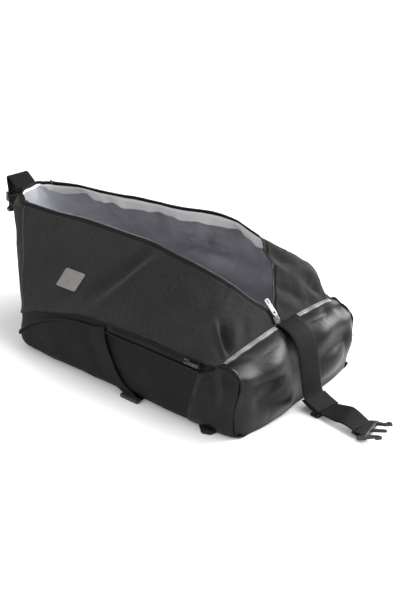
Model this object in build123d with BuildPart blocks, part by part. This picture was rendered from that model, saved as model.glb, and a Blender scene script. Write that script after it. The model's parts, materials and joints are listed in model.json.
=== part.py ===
from build123d import *
import math
import os

# Shoe bag, a roll-top sports bag lying on its back panel with the main zip open.
# Millimetres. +X runs toward the coated base, +Y to the far side, +Z up.
# The origin is on the underside, in the middle of the bag's width.

# ---------------------------------------------------------------- driving sizes
CLOTH = 2.5            # side wall, fabric with its foam backing
COATED = 3.0           # base wall
LINING_GAP = 0.3
LINING = 1.0
PAD_GAP = 0.3
PAD = 4.5
FACING = 0.8
FACING_DEPTH = 22.0    # from the zip edge down the inside
TAPE_WIDTH = 7.0       # visible zip tape
TAPE = 0.8
COIL_R = 1.2
COIL_Y = 2.9           # half distance between the two coils where the zip is closed
PIPING_R = 2.2
BASE_PIPING_R = 2.6
STRAP_WIDTH = 38.0
STRAP = 2.0
WEB = 1.6
BAR_R = 2.2
BAR_CLEARANCE = 0.1
FLAT_UNDERSIDE = 0.9   # share of the width that touches the floor

# Upright sections of one half, from bow to base: x at the floor, lean dx/dz, then (y, z) of
# bottom edge, lower corner, belly, arc seam, fabric hem, mid wall, upper wall, zip edge.
BOW_END = (-202, -0.56, [(104, 3.5), (109, 7), (110.5, 10.5), (110.5, 15), (91, 48), (70, 105), (52, 150), (32, 196)])
BOW_CORNER = (-193, -0.53, [(127, 3), (132.5, 6.5), (134.5, 10.5), (134.5, 15), (114, 48), (90, 105), (70, 152), (50, 197)])
STATIONS = [
    BOW_CORNER,
    (-178, -0.40, [(139, 3), (145, 9), (147, 18), (145, 29), (133, 56), (116, 106), (86, 155), (52, 198)]),
    (-150, -0.28, [(142, 3), (148, 12), (149, 30), (145, 51), (138.5, 71), (120, 112), (92, 157), (53, 200)]),
    (-100, -0.14, [(143, 3), (149, 12), (150, 42), (142.5, 78), (139, 86), (120, 116), (94, 157), (56, 208)]),
    (-40, 0.0, [(143, 3), (149, 12), (151, 45), (142, 91), (141, 106), (124, 130), (100, 165), (62, 213)]),
    (20, 0.0, [(143, 3), (149, 12), (151, 45), (142, 91), (141, 107), (127, 132), (104, 170), (71, 219)]),
    (70, 0.0, [(143, 3), (149, 12), (151, 45), (142, 91), (141, 108), (128, 133), (106, 168), (73, 214)]),
    (115, 0.0, [(143, 3), (149, 12), (151, 45), (142, 90.5), (141, 108), (128, 131), (101, 161), (64, 202)]),
    (150, 0.0, [(143, 3), (149, 12), (150, 45), (142, 90.5), (141, 107), (125, 129), (92, 154), (44, 179)]),
    (172, 0.0, [(143, 3), (148, 12), (149, 45), (142, 90.5), (139, 105), (119, 123), (77, 138), (22, 152)]),
    (186, 0.0, [(143, 3), (147, 12), (148, 45), (142, 91), (137, 105), (118, 113), (70, 124), (COIL_Y, 132)]),
    (197, 0.0, [(142, 3), (147, 12), (148, 45), (142, 93), (134, 103), (118, 108), (66, 112), (COIL_Y, 115)]),
]
EDGE, LOW, BELLY, SEAM, HEM, MID, UPPER, FACE_LINE, CLOTH_EDGE, ZIP_EDGE = range(10)
# The far shoulder, beside the closed end of the zip, bulges: how far the mid wall and the
# upper wall of these far sections stand out.
FAR_SWELL = {70: (4, 6), 115: (8, 12), 150: (14, 20), 172: (22, 32), 186: (22, 26)}
SEAM_X = 150           # side seam between the nylon panel and the coated corner
BAND_END_X = 172       # where the pocket zip band runs out

# Coated corner beyond the base seam, same rows from bottom edge to fabric hem.
CORNER_TAIL = [
    (215, [(141, 3), (145, 11), (146, 45), (143, 84), (139, 96)]),
    (230, [(136, 3), (140, 11), (141, 45), (139, 72), (137, 82)]),
]

# Profiles (x, z) of the base face by half width y, from the top seam to the floor.
BASE_SECTIONS = [
    (0, [(198.2, 115), (221, 107), (236, 88), (242, 60), (244, 25), (240, 0)]),
    (50, [(198.2, 113), (223, 105), (241, 87), (248, 60), (249, 25), (243, 0)]),
    (100, [(198.2, 109), (222, 102), (239, 86), (245, 60), (246, 25), (240, 0)]),
    (126, [(198.2, 105), (218, 99), (234, 84), (240, 60), (240, 25), (235, 0)]),
    (134, [(198.5, 101), (215, 96), (230, 82), (235, 60), (235, 25), (230, 1)]),
]
BASE_PIPING = [(199, 137, 104), (216, 137, 98), (231, 136, 84), (235, 138, 60), (235, 138, 25), (230, 135, 5)]

os.makedirs("parts", exist_ok=True)


# ---------------------------------------------------------------- shape helpers
def toward(start, end, distance):
    """The point at a distance from start on the way to end."""
    span = math.dist(start, end)
    return tuple(a + (b - a) * distance / span for a, b in zip(start, end))


def full_rows(rows):
    """Adds the facing line and the fabric's edge between the upper wall and the zip edge."""
    upper, zip_edge = rows[-2], rows[-1]
    facing = toward(zip_edge, upper, FACING_DEPTH)
    cloth = toward(zip_edge, upper, TAPE_WIDTH)
    return rows[:-1] + [facing, cloth, zip_edge]


def inset(rows, depth):
    """Rows moved into the bag by a depth, square to the wall."""
    moved = []
    for i, (y, z) in enumerate(rows):
        before = rows[max(i - 1, 0)]
        after = rows[min(i + 1, len(rows) - 1)]
        dy, dz = after[0] - before[0], after[1] - before[1]
        length = math.hypot(dy, dz)
        moved.append((y - dz / length * depth, z + dy / length * depth))
    return moved


def section_plane(x_floor, lean):
    return Plane(origin=(x_floor, 0, 0), x_dir=(0, 1, 0), z_dir=(1, 0, -lean))


def in_section(points, lean, side=1):
    """(y, z) points as coordinates of their leaning section plane."""
    stretch = math.hypot(1, lean)
    return [(side * y, z * stretch) for y, z in points]


def wall_outline(rows, first, last, outer, inner):
    """Closed outline of one half's wall from row to row, between two depths."""
    return inset(rows, outer)[first:last + 1] + inset(rows, inner)[first:last + 1][::-1]


def trough_outline(rows, first, last, outer, inner, floor_z):
    """Closed outline of both walls and the floor between them."""
    outside = inset(rows, outer)[first:last + 1]
    inside = inset(rows, inner)[first:last + 1]
    half = FLAT_UNDERSIDE * rows[EDGE][0] - outer
    top = floor_z + inner - outer
    outer_path = outside[::-1] + [(half, floor_z), (-half, floor_z)] + [(-y, z) for y, z in outside]
    inner_path = [(-y, z) for y, z in inside[::-1]] + [(-half + LINING, top), (half - LINING, top)] + inside
    return outer_path + inner_path


def outline_on(plane, points):
    """A closed straight-sided sketch on a plane."""
    with BuildSketch(plane) as outline:
        with BuildLine():
            Polyline(*points, close=True)
        make_face()
    return outline.sketch


def loft_sections(sections):
    """Ruled loft in the open part through outlines given as (x_floor, lean, points)."""
    outlines = [outline_on(section_plane(x, lean), points) for x, lean, points in sections]
    loft(outlines, ruled=True)


def wall_sections(stations, first, last, outer, inner, side):
    sections = []
    for x_floor, lean, rows in stations:
        outline = wall_outline(full_rows(rows), first, last, outer, inner)
        sections.append((x_floor, lean, in_section(outline, lean, side)))
    return sections


def side_stations(side):
    """The sections of one side, with the far side's shoulder let out."""
    if side < 0:
        return STATIONS
    swollen = []
    for x_floor, lean, rows in STATIONS:
        mid, upper = FAR_SWELL.get(x_floor, (0, 0))
        rows = rows[:MID] + [inset(rows, -mid)[MID], inset(rows, -upper)[UPPER]] + rows[UPPER + 1:]
        swollen.append((x_floor, lean, rows))
    return swollen


def station_range(x_low, x_high):
    return [s for s in STATIONS if x_low <= s[0] <= x_high]


def outside_point(station, row, side, depth=0.0):
    """A point of a station's row in the bag's frame."""
    x_floor, lean, rows = station
    y, z = inset(full_rows(rows), depth)[row]
    return (x_floor + lean * z, side * y, z)


def tube(points, radius, reference=(0, 0, 1)):
    """A round cord through points, in the open part, with its sections square to its way."""
    rings = []
    for i, point in enumerate(points):
        before = Vector(*points[max(i - 1, 0)])
        after = Vector(*points[min(i + 1, len(points) - 1)])
        along = (after - before).normalized()
        across = along.cross(Vector(*reference)).normalized()
        with BuildSketch(Plane(origin=point, x_dir=across, z_dir=along)) as ring:
            Circle(radius)
        rings.append(ring.sketch)
    loft(rings, ruled=True)


def finish(part, name):
    part.label = name
    export_step(part, f"parts/{name}.step")


SIDES = (("near", -1), ("far", 1))

# ---------------------------------------------------------------- fabric walls
for word, side in SIDES:
    with BuildPart() as side_panel:
        loft_sections(wall_sections(side_stations(side), HEM, CLOTH_EDGE, 0, CLOTH, side))
    finish(side_panel.part, f"{word}_side_panel")

    with BuildPart() as lower_panel:
        loft_sections(wall_sections(station_range(-200, SEAM_X), EDGE, SEAM, 0, CLOTH, side))
    finish(lower_panel.part, f"{word}_lower_panel")

    with BuildPart() as zip_band:
        loft_sections(wall_sections(station_range(-200, BAND_END_X), SEAM, HEM, 0, CLOTH, side))
    finish(zip_band.part, f"{word}_zip_band")

    with BuildPart() as corner_panel:
        loft_sections(wall_sections(station_range(SEAM_X, BAND_END_X), EDGE, SEAM, 0, CLOTH, side))
        tail = []
        for x, rows in CORNER_TAIL:
            outline = rows + inset(rows, CLOTH)[::-1]
            tail.append((x, 0.0, in_section(outline, 0.0, side)))
        loft_sections(wall_sections(station_range(BAND_END_X, 200), EDGE, HEM, 0, CLOTH, side) + tail)
    finish(corner_panel.part, f"{word}_corner_panel")

# ---------------------------------------------------------------- bow end
with BuildPart() as top_end_panel:
    ends = []
    for x_floor, lean, rows in (BOW_CORNER, BOW_END):
        wall = inset(full_rows(rows), 0)
        inner = inset(full_rows(rows), CLOTH)
        half = FLAT_UNDERSIDE * rows[EDGE][0]
        outline = wall[:ZIP_EDGE + 1][::-1] + [(half, 0), (-half, 0)] + [(-y, z) for y, z in wall]
        outline += [(-y, z) for y, z in inner[::-1]] + [(-half, CLOTH), (half, CLOTH)] + inner
        ends.append((x_floor, lean, in_section(outline, lean)))
    loft_sections(ends)
    x_floor, lean, rows = BOW_END
    half = FLAT_UNDERSIDE * rows[EDGE][0]
    outline = full_rows(rows)[::-1] + [(half, 0), (-half, 0)] + [(-y, z) for y, z in full_rows(rows)]
    extrude(outline_on(section_plane(x_floor, lean), in_section(outline, lean)), amount=CLOTH)
finish(top_end_panel.part, "top_end_panel")

# ---------------------------------------------------------------- underside and pad
with BuildPart() as back_panel:
    sections = []
    floor_stations = STATIONS + [(215, 0.0, [(141, 3), (145, 11), (146, 45)])]
    for x_floor, lean, rows in floor_stations:
        edge, inner_edge = rows[EDGE], inset(rows, CLOTH)[EDGE]
        half = FLAT_UNDERSIDE * edge[0]
        outline = [edge, (half, 0), (-half, 0), (-edge[0], edge[1])]
        outline += [(-inner_edge[0], inner_edge[1]), (-half, CLOTH), (half, CLOTH), inner_edge]
        sections.append((x_floor, lean, in_section(outline, lean)))
    sections.append((230, 0.0, [(118, 1.5), (110, 0), (-110, 0), (-118, 1.5),
                                (-117, 3.0), (-110, CLOTH), (110, CLOTH), (117, 3.0)]))
    loft_sections(sections)
finish(back_panel.part, "back_panel")

PAD_LENGTH = 360.0
PAD_WIDTH = 236.0
with BuildPart() as back_pad:
    with BuildSketch(Plane.XY.offset(CLOTH + PAD_GAP)):
        with Locations((4, 0)):
            RectangleRounded(PAD_LENGTH, PAD_WIDTH, 24)
    extrude(amount=PAD)
finish(back_pad.part, "back_pad")

# ---------------------------------------------------------------- lining and rim facing
LINING_OUT = CLOTH + LINING_GAP
LINING_IN = LINING_OUT + LINING
LINING_FLOOR = CLOTH + PAD_GAP + PAD + LINING_GAP
BOW_LINING = (-190, -0.56, BOW_END[2])
with BuildPart() as lining:
    sections = []
    for x_floor, lean, rows in [BOW_LINING] + STATIONS[1:]:
        outline = trough_outline(full_rows(rows), BELLY, FACE_LINE, LINING_OUT, LINING_IN, LINING_FLOOR)
        sections.append((x_floor, lean, in_section(outline, lean)))
    loft_sections(sections)
    x_floor, lean, rows = BOW_LINING
    closed = inset(full_rows(rows), LINING_OUT)[BELLY:FACE_LINE + 1]
    half = FLAT_UNDERSIDE * rows[EDGE][0] - LINING_OUT
    outline = closed[::-1] + [(half, LINING_FLOOR), (-half, LINING_FLOOR)] + [(-y, z) for y, z in closed]
    extrude(outline_on(section_plane(x_floor, lean), in_section(outline, lean)), amount=LINING)
finish(lining.part, "lining")

with BuildPart() as rim_facing:
    for word, side in SIDES:
        loft_sections(wall_sections(side_stations(side)[1:], FACE_LINE, CLOTH_EDGE, LINING_OUT,
                                    LINING_OUT + FACING, side))
finish(rim_facing.part, "rim_facing")

# ---------------------------------------------------------------- coated base
BASE_ROWS = [(-y, profile) for y, profile in BASE_SECTIONS[:0:-1]] + BASE_SECTIONS


def upright_plane(y):
    """Plane across the width, with x along the bag and y upward."""
    return Plane(origin=(0, y, 0), x_dir=(1, 0, 0), z_dir=(0, -1, 0))


def base_shell(outer, inner, half_width):
    """Lofts the base face between two depths over the sections within a half width."""
    outlines = []
    for y, profile in BASE_ROWS:
        if abs(y) <= half_width:
            points = base_inset(profile, outer) + base_inset(profile, inner)[::-1]
            outlines.append(outline_on(upright_plane(y), points))
    loft(outlines, ruled=True)


def base_inset(profile, depth):
    """Profile moved into the base, square to the face, with its seam upright and its foot level."""
    moved = []
    for i, (x, z) in enumerate(profile):
        before = profile[max(i - 1, 0)]
        after = profile[min(i + 1, len(profile) - 1)]
        dx, dz = after[0] - before[0], after[1] - before[1]
        length = math.hypot(dx, dz)
        moved.append((x + dz / length * depth, z - dx / length * depth))
    seam_x, seam_z = profile[0]
    foot_x, foot_z = profile[-1]
    moved[0] = (seam_x, seam_z - depth)
    moved[-1] = (foot_x - depth, foot_z)
    return moved


STIFFENER_OUT = COATED + 0.3
STIFFENER_IN = STIFFENER_OUT + 3.0
with BuildPart() as base_panel:
    base_shell(0, COATED, 140)
finish(base_panel.part, "base_panel")

BOARD_FLOOR = 6.0
with BuildPart() as base_stiffener:
    base_shell(STIFFENER_OUT, STIFFENER_IN, 126)
    with Locations((220, 0, BOARD_FLOOR / 2)):
        Box(80, 300, BOARD_FLOOR, mode=Mode.SUBTRACT)
finish(base_stiffener.part, "base_stiffener")

with BuildPart() as base_lining:
    base_shell(STIFFENER_IN + LINING_GAP, STIFFENER_IN + LINING_GAP + LINING, 126)
    with Locations((220, 0, LINING_FLOOR / 2)):
        Box(80, 300, LINING_FLOOR, mode=Mode.SUBTRACT)
finish(base_lining.part, "base_lining")

STRIP = 0.5
STRIP_WIDTH = 7.0
STRIP_X = 198.4
STRIP_RUNS = ((-124, -100, -50, -10), (42, 50, 100, 124))


def base_top(y):
    """Height of the base seam across the width."""
    for (y0, low), (y1, high) in zip(BASE_SECTIONS, BASE_SECTIONS[1:]):
        if y0 <= abs(y) <= y1:
            return low[0][1] + (high[0][1] - low[0][1]) * (abs(y) - y0) / (y1 - y0)
    return BASE_SECTIONS[-1][1][0][1]


with BuildPart() as reflective_strip:
    for run in STRIP_RUNS:
        outlines = []
        for y in run:
            top = base_top(y) + 0.4
            inner, outer = STRIP_X, STRIP_X + STRIP_WIDTH
            points = [(inner, top), (outer, top - 2.4), (outer, top - 2.4 + STRIP), (inner, top + STRIP)]
            outlines.append(outline_on(upright_plane(y), points))
        loft(outlines, ruled=True)
finish(reflective_strip.part, "reflective_strip")

# ---------------------------------------------------------------- piping
for word, side in SIDES:
    with BuildPart() as arc_piping:
        tube([outside_point(s, SEAM, side, -0.6) for s in station_range(-200, BAND_END_X)], PIPING_R)
    finish(arc_piping.part, f"{word}_arc_piping")

    with BuildPart() as base_piping:
        tube([(x, side * y, z) for x, y, z in BASE_PIPING], BASE_PIPING_R, (0, 1, 0))
    finish(base_piping.part, f"{word}_base_piping")

# ---------------------------------------------------------------- main zip
for word, side in SIDES:
    with BuildPart() as zip_tape:
        sections = []
        for x_floor, lean, rows in side_stations(side):
            cloth, edge = full_rows(rows)[CLOTH_EDGE], full_rows(rows)[ZIP_EDGE]
            inner_end = toward(edge, cloth, COIL_R)
            up = toward((0, 0), (cloth[1] - edge[1], edge[0] - cloth[0]), TAPE / 2)
            outline = [(cloth[0] + up[0], cloth[1] + up[1]), (inner_end[0] + up[0], inner_end[1] + up[1]),
                       (inner_end[0] - up[0], inner_end[1] - up[1]), (cloth[0] - up[0], cloth[1] - up[1])]
            sections.append((x_floor, lean, in_section(outline, lean, side)))
        loft_sections(sections)
    finish(zip_tape.part, f"{word}_zip_tape")

    with BuildPart() as zip_coil:
        tube([outside_point(s, ZIP_EDGE, side) for s in side_stations(side)], COIL_R)
    finish(zip_coil.part, f"{word}_zip_coil")

ZIP_FOOT = (197.0, 0.0, 115.0)
ZIP_TOP = (186.0, 0.0, 132.0)
ZIP_UP = Vector(*ZIP_TOP) - Vector(*ZIP_FOOT)
ZIP_UP = ZIP_UP.normalized()
ZIP_OUT = Vector(ZIP_UP.Z, 0, -ZIP_UP.X)
SLIDER_LENGTH = 9.5
SLIDER_WIDTH = 12.0
SLIDER_PLATE = 1.4
SLIDER_GAP = 3.2
SLIDER_SEAT = 6.6      # slider centre above the foot of the zip
STOP = 1.2
SLIDER_CENTRE = Vector(*ZIP_FOOT) + ZIP_UP * SLIDER_SEAT
SLIDER_PLANE = Plane(origin=SLIDER_CENTRE, x_dir=ZIP_UP, z_dir=ZIP_OUT)
FOOT_PLANE = Plane(origin=ZIP_FOOT, x_dir=ZIP_UP, z_dir=ZIP_OUT)

STOP_WIDTH = 9.6
STOP_HEIGHT = 3.4
HEAD_STOP = (2.4, 3.4, 3.4)
HEAD_STOP_INSET = 1.4
with BuildPart() as zip_bottom_stop:
    with BuildSketch(FOOT_PLANE.offset(-STOP_HEIGHT / 2)):
        with Locations((STOP / 2, 0)):
            Rectangle(STOP, STOP_WIDTH)
    extrude(amount=STOP_HEIGHT)
finish(zip_bottom_stop.part, "zip_bottom_stop")

with BuildPart() as zip_top_stops:
    for word, side in SIDES:
        with Locations(Vector(*outside_point(BOW_CORNER, ZIP_EDGE, side)) + Vector(HEAD_STOP_INSET, 0, 0)):
            Box(*HEAD_STOP)
finish(zip_top_stops.part, "zip_top_stops")

BAIL_HEIGHT = 4.2
BAIL_WIDTH = 2.4
BAIL_LENGTH = 7.6
PIVOT_HEIGHT = SLIDER_GAP / 2 + SLIDER_PLATE + 2.1
with BuildPart() as main_slider:
    for level in (SLIDER_GAP / 2, -SLIDER_GAP / 2 - SLIDER_PLATE):
        with BuildSketch(SLIDER_PLANE.offset(level)):
            RectangleRounded(SLIDER_LENGTH, SLIDER_WIDTH, 2.0)
        extrude(amount=SLIDER_PLATE)
    with BuildSketch(SLIDER_PLANE.offset(-SLIDER_GAP / 2)):
        with Locations((SLIDER_LENGTH / 2 - 2.0, 0)):
            Rectangle(3.0, 2.4)
    extrude(amount=SLIDER_GAP)
    for level in (0.85, -SLIDER_GAP / 2):
        with BuildSketch(SLIDER_PLANE.offset(level)):
            with Locations((0, SLIDER_WIDTH / 2 - 0.5), (0, -SLIDER_WIDTH / 2 + 0.5)):
                Rectangle(SLIDER_LENGTH - 4.0, 1.0)
        extrude(amount=SLIDER_GAP / 2 - 0.85)
    bail_plane = Plane(origin=SLIDER_CENTRE, x_dir=ZIP_UP, z_dir=(0, 1, 0))
    bail_foot = -(SLIDER_GAP / 2 + SLIDER_PLATE)
    with BuildSketch(bail_plane.offset(-BAIL_WIDTH / 2)):
        with Locations((0, bail_foot - BAIL_HEIGHT / 2 + 0.2)):
            RectangleRounded(BAIL_LENGTH, BAIL_HEIGHT + 0.4, 1.2)
        with Locations((0, -PIVOT_HEIGHT)):
            RectangleRounded(BAIL_LENGTH - 2.6, 2.2, 1.05, mode=Mode.SUBTRACT)
    extrude(amount=BAIL_WIDTH)
finish(main_slider.part, "main_slider")

PULLER_LENGTH = 34.5
PULLER_WIDTH = 9.6
PULLER = 1.2
PULLER_BAR_R = 0.7
PULLER_LEAN = 11.0     # toward the opening, from the line of the zip
PULLER_PIVOT = SLIDER_CENTRE + ZIP_OUT * PIVOT_HEIGHT
lean_cos = math.cos(math.radians(PULLER_LEAN))
lean_sin = math.sin(math.radians(PULLER_LEAN))
PULLER_ALONG = ZIP_UP * lean_cos - ZIP_OUT * lean_sin
PULLER_OUT = ZIP_OUT * lean_cos + ZIP_UP * lean_sin
PULLER_PLANE = Plane(origin=PULLER_PIVOT, x_dir=PULLER_ALONG, z_dir=PULLER_OUT)
with BuildPart() as main_puller:
    with BuildSketch(PULLER_PLANE.offset(-PULLER / 2)):
        with Locations((PULLER_LENGTH / 2 - 0.8, 0)):
            RectangleRounded(PULLER_LENGTH, PULLER_WIDTH, 2.4)
        with Locations((3.3, 0)):
            RectangleRounded(5.2, 3.6, 0.6, mode=Mode.SUBTRACT)
    extrude(amount=PULLER)
    with BuildSketch(Plane(origin=PULLER_PIVOT - Vector(0, 1.9, 0), z_dir=(0, 1, 0))):
        Circle(PULLER_BAR_R)
    extrude(amount=3.8)
finish(main_puller.part, "main_puller")

# ---------------------------------------------------------------- pocket zips on the sides
POCKET_Z = 100.0
POCKET_START = 2.0
POCKET_END = 166.0
CHAIN_Y = 145.4
CHAIN_ROW = 1.25
CHAIN_R = 1.1
SPINE_FOOT = 141.7
POCKET_SLIDER_X = 150.0
POCKET_SLIDER_LENGTH = 10.0
CROWN_Y = 147.4          # the slider's outer plate
CROWN = (1.2, 9.6)
FLANK_Y = 145.3          # its two side walls
FLANK = (5.0, 1.4)
FLANK_OFFSET = 4.1
FLANGE_Y = 143.2         # and their inturned flanges, behind the coils
FLANGE = (0.9, 3.2)
FLANGE_OFFSET = 2.9
POCKET_BAIL_Y = 149.6
POCKET_BAIL = (7.0, 3.8)
POCKET_EYE = (4.4, 1.9)
POCKET_BAIL_WIDTH = 2.2
POCKET_PIVOT_Y = 149.4
POCKET_PULLER = (24.0, 5.6)
POCKET_PULLER_CENTRE = 10.5
POCKET_PULLER_EYE = (5.4, 3.2)
POCKET_PULLER_EYE_CENTRE = 2.6
POCKET_PULLER_THICKNESS = 1.0
POCKET_BAR_R = 0.6
POCKET_BAR_LENGTH = 4.0
POCKET_BAR_X = POCKET_SLIDER_X - 0.8
for word, side in SIDES:
    with BuildPart() as pocket_coil:
        with BuildSketch(Plane.YZ.offset(POCKET_START)):
            with Locations((side * CHAIN_Y, POCKET_Z - CHAIN_ROW), (side * CHAIN_Y, POCKET_Z + CHAIN_ROW)):
                Circle(CHAIN_R)
            with Locations((side * (SPINE_FOOT + CHAIN_Y) / 2, POCKET_Z)):
                Rectangle(CHAIN_Y - SPINE_FOOT, 1.8)
        extrude(amount=POCKET_END - POCKET_START)
    finish(pocket_coil.part, f"{word}_pocket_coil")

    with BuildPart() as pocket_slider:
        with BuildSketch(Plane.YZ.offset(POCKET_SLIDER_X - POCKET_SLIDER_LENGTH / 2)):
            with Locations((side * CROWN_Y, POCKET_Z)):
                Rectangle(*CROWN)
            for flank in (-1, 1):
                with Locations((side * FLANK_Y, POCKET_Z + flank * FLANK_OFFSET)):
                    Rectangle(*FLANK)
                with Locations((side * FLANGE_Y, POCKET_Z + flank * FLANGE_OFFSET)):
                    Rectangle(*FLANGE)
        extrude(amount=POCKET_SLIDER_LENGTH)
        with BuildSketch(Plane.XY.offset(POCKET_Z - POCKET_BAIL_WIDTH / 2)):
            with Locations((POCKET_SLIDER_X, side * POCKET_BAIL_Y)):
                Rectangle(*POCKET_BAIL)
            with Locations((POCKET_SLIDER_X, side * POCKET_PIVOT_Y)):
                RectangleRounded(*POCKET_EYE, 0.9, mode=Mode.SUBTRACT)
        extrude(amount=POCKET_BAIL_WIDTH)
    finish(pocket_slider.part, f"{word}_pocket_slider")

    with BuildPart() as pocket_puller:
        with BuildSketch(Plane.XZ.offset(-side * POCKET_PIVOT_Y - POCKET_PULLER_THICKNESS / 2)):
            with Locations((POCKET_SLIDER_X + POCKET_PULLER_CENTRE, POCKET_Z)):
                RectangleRounded(*POCKET_PULLER, 1.8)
            with Locations((POCKET_SLIDER_X + POCKET_PULLER_EYE_CENTRE, POCKET_Z)):
                RectangleRounded(*POCKET_PULLER_EYE, 1.4, mode=Mode.SUBTRACT)
        extrude(amount=POCKET_PULLER_THICKNESS)
        with BuildSketch(Plane.XY.offset(POCKET_Z - POCKET_BAR_LENGTH / 2)):
            with Locations((POCKET_BAR_X, side * POCKET_PIVOT_Y)):
                Circle(POCKET_BAR_R)
        extrude(amount=POCKET_BAR_LENGTH)
    finish(pocket_puller.part, f"{word}_pocket_puller")

# ---------------------------------------------------------------- label patch
PATCH_CENTRE = Vector(-108.1, -112.6, 131.4)
PATCH_CORNERS = [(-26.5, -16.2), (17, -14.8), (26.5, 16.2), (-17.5, 14.8)]
PATCH_CORNER_R = 4.0
PATCH_THICKNESS = 1.6
PATCH_ALONG = Vector(1, -0.10, 0.05).normalized()
PATCH_OUT = PATCH_ALONG.cross(Vector(0, 0.535, 0.845)).normalized()
with BuildPart() as label_patch:
    with BuildSketch(Plane(origin=PATCH_CENTRE, x_dir=PATCH_ALONG, z_dir=PATCH_OUT)):
        with BuildLine():
            FilletPolyline(*PATCH_CORNERS, radius=PATCH_CORNER_R, close=True)
        make_face()
    extrude(amount=PATCH_THICKNESS)
finish(label_patch.part, "label_patch")

# ---------------------------------------------------------------- base strap and its pieces
STRAP_YAW = -8.2
STRAP_ROOT = Vector(197, 14, 0)
STRAP_DIR = Vector(math.cos(math.radians(STRAP_YAW)), math.sin(math.radians(STRAP_YAW)), 0)
STRAP_SIDE = Vector(-STRAP_DIR.Y, STRAP_DIR.X, 0)
# Route as (distance out from the root, height), clear of the base face.
STRAP_ROUTE = [(4, 116.2), (27, 117), (46, 101), (54, 75), (58, 47), (64, 15),
               (88, 7.0), (117, 12), (138, 15), (159, 9.2)]
BUCKLE_YAW = 10.0
BUCKLE_TILT = 15.0
BAR = Vector(360, -9, 5.4)
ARC_SHARE = 0.45


def strap_point(distance, height, across=0.0):
    return STRAP_ROOT + STRAP_DIR * distance + STRAP_SIDE * across + Vector(0, 0, height)


def arc_radii(route):
    """The largest tangent arc that the two runs at each corner leave room for."""
    radii = []
    for before, corner, after in zip(route, route[1:], route[2:]):
        run_in = (corner[0] - before[0], corner[1] - before[1])
        run_out = (after[0] - corner[0], after[1] - corner[1])
        turn = math.atan2(run_out[1], run_out[0]) - math.atan2(run_in[1], run_in[0])
        shorter = min(math.hypot(*run_in), math.hypot(*run_out))
        radii.append(ARC_SHARE * shorter / math.tan(abs(turn) / 2))
    return radii


STRAP_RADII = arc_radii(STRAP_ROUTE)
print("strap radii", [round(r, 1) for r in STRAP_RADII])

tilt_cos = math.cos(math.radians(BUCKLE_TILT))
tilt_sin = math.sin(math.radians(BUCKLE_TILT))
yaw_dir = Vector(math.cos(math.radians(BUCKLE_YAW)), math.sin(math.radians(BUCKLE_YAW)), 0)
BUCKLE_AXIS = Vector(-yaw_dir.Y, yaw_dir.X, 0)
BUCKLE_DIR = yaw_dir * tilt_cos + Vector(0, 0, tilt_sin)
BUCKLE_UP = Vector(0, 0, tilt_cos) - yaw_dir * tilt_sin
BUCKLE_PLANE = Plane(origin=BAR, x_dir=BUCKLE_DIR, z_dir=BUCKLE_UP)
RING_R = BAR_R + BAR_CLEARANCE + WEB

with BuildPart() as base_strap:
    with BuildLine():
        route = FilletPolyline(*[strap_point(d, h) for d, h in STRAP_ROUTE], radius=STRAP_RADII)
    with BuildSketch(Plane(origin=route @ 0, x_dir=STRAP_SIDE, z_dir=route % 0)):
        Rectangle(STRAP_WIDTH, STRAP)
    sweep(path=route.wire())
    with BuildSketch(Plane(origin=BAR, x_dir=yaw_dir, z_dir=-BUCKLE_AXIS)) as wrap:
        with BuildLine():
            Polyline((-14.0, 4.2), (0, BAR_R + BAR_CLEARANCE), (0, RING_R), (-14.0, 4.2 + WEB), close=True)
        make_face()
        Circle(RING_R)
        Circle(BAR_R + BAR_CLEARANCE, mode=Mode.SUBTRACT)
    extrude(amount=STRAP_WIDTH / 2 - 1.0, both=True)
finish(base_strap.part, "base_strap")
print("strap length", round(route.length, 1), "volume", round(base_strap.part.volume, 0))

KEEPER_WIDTH = 42.5
KEEPER_START = (67.5, 16.0)
KEEPER_END = (94.5, 8.2)
KEEPER_INSIDE = 1.7
KEEPER_OUTSIDE = 3.0


STRAP_PLANE = Plane(origin=STRAP_ROOT, x_dir=STRAP_DIR, z_dir=-STRAP_SIDE)


def strap_box(start, end, low, high, width, mode=Mode.ADD):
    """Solid block along the strap between two heights off its line, in the open part."""
    run = (end[0] - start[0], end[1] - start[1])
    length = math.hypot(*run)
    along = (run[0] / length, run[1] / length)
    off = (-along[1], along[0])
    corners = []
    for share, level in ((0, low), (1, low), (1, high), (0, high)):
        reach = share * length
        corners.append((start[0] + along[0] * reach + off[0] * level, start[1] + along[1] * reach + off[1] * level))
    extrude(outline_on(STRAP_PLANE, corners), amount=width / 2, both=True, mode=mode)


with BuildPart() as strap_keeper:
    strap_box(KEEPER_START, KEEPER_END, -KEEPER_OUTSIDE, KEEPER_OUTSIDE, KEEPER_WIDTH)
    strap_box(KEEPER_START, KEEPER_END, -KEEPER_INSIDE, KEEPER_INSIDE, STRAP_WIDTH + 1.2, Mode.SUBTRACT)
finish(strap_keeper.part, "strap_keeper")

TAIL_START = (66, 10.6)
TAIL_END = (86, 4.8)
with BuildPart() as strap_tail:
    strap_box(TAIL_START, TAIL_END, -1.0, 0.8, STRAP_WIDTH - 2)
finish(strap_tail.part, "strap_tail")

GLIDE_DISTANCE = 87.0
GLIDE = (15.0, 45.0, 2.5)
GLIDE_SLOT = (3.6, 38.5)
GLIDE_SLOT_OFFSET = 3.4
GLIDE_THICKNESS = 2.6

with BuildPart() as tri_glide:
    with BuildSketch(Plane(origin=STRAP_ROOT, x_dir=STRAP_DIR, z_dir=(0, 0, 1))):
        with Locations((GLIDE_DISTANCE, 0)):
            RectangleRounded(*GLIDE)
            with Locations((-GLIDE_SLOT_OFFSET, 0), (GLIDE_SLOT_OFFSET, 0)):
                Rectangle(*GLIDE_SLOT, mode=Mode.SUBTRACT)
    extrude(amount=GLIDE_THICKNESS)
finish(tri_glide.part, "tri_glide")

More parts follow.
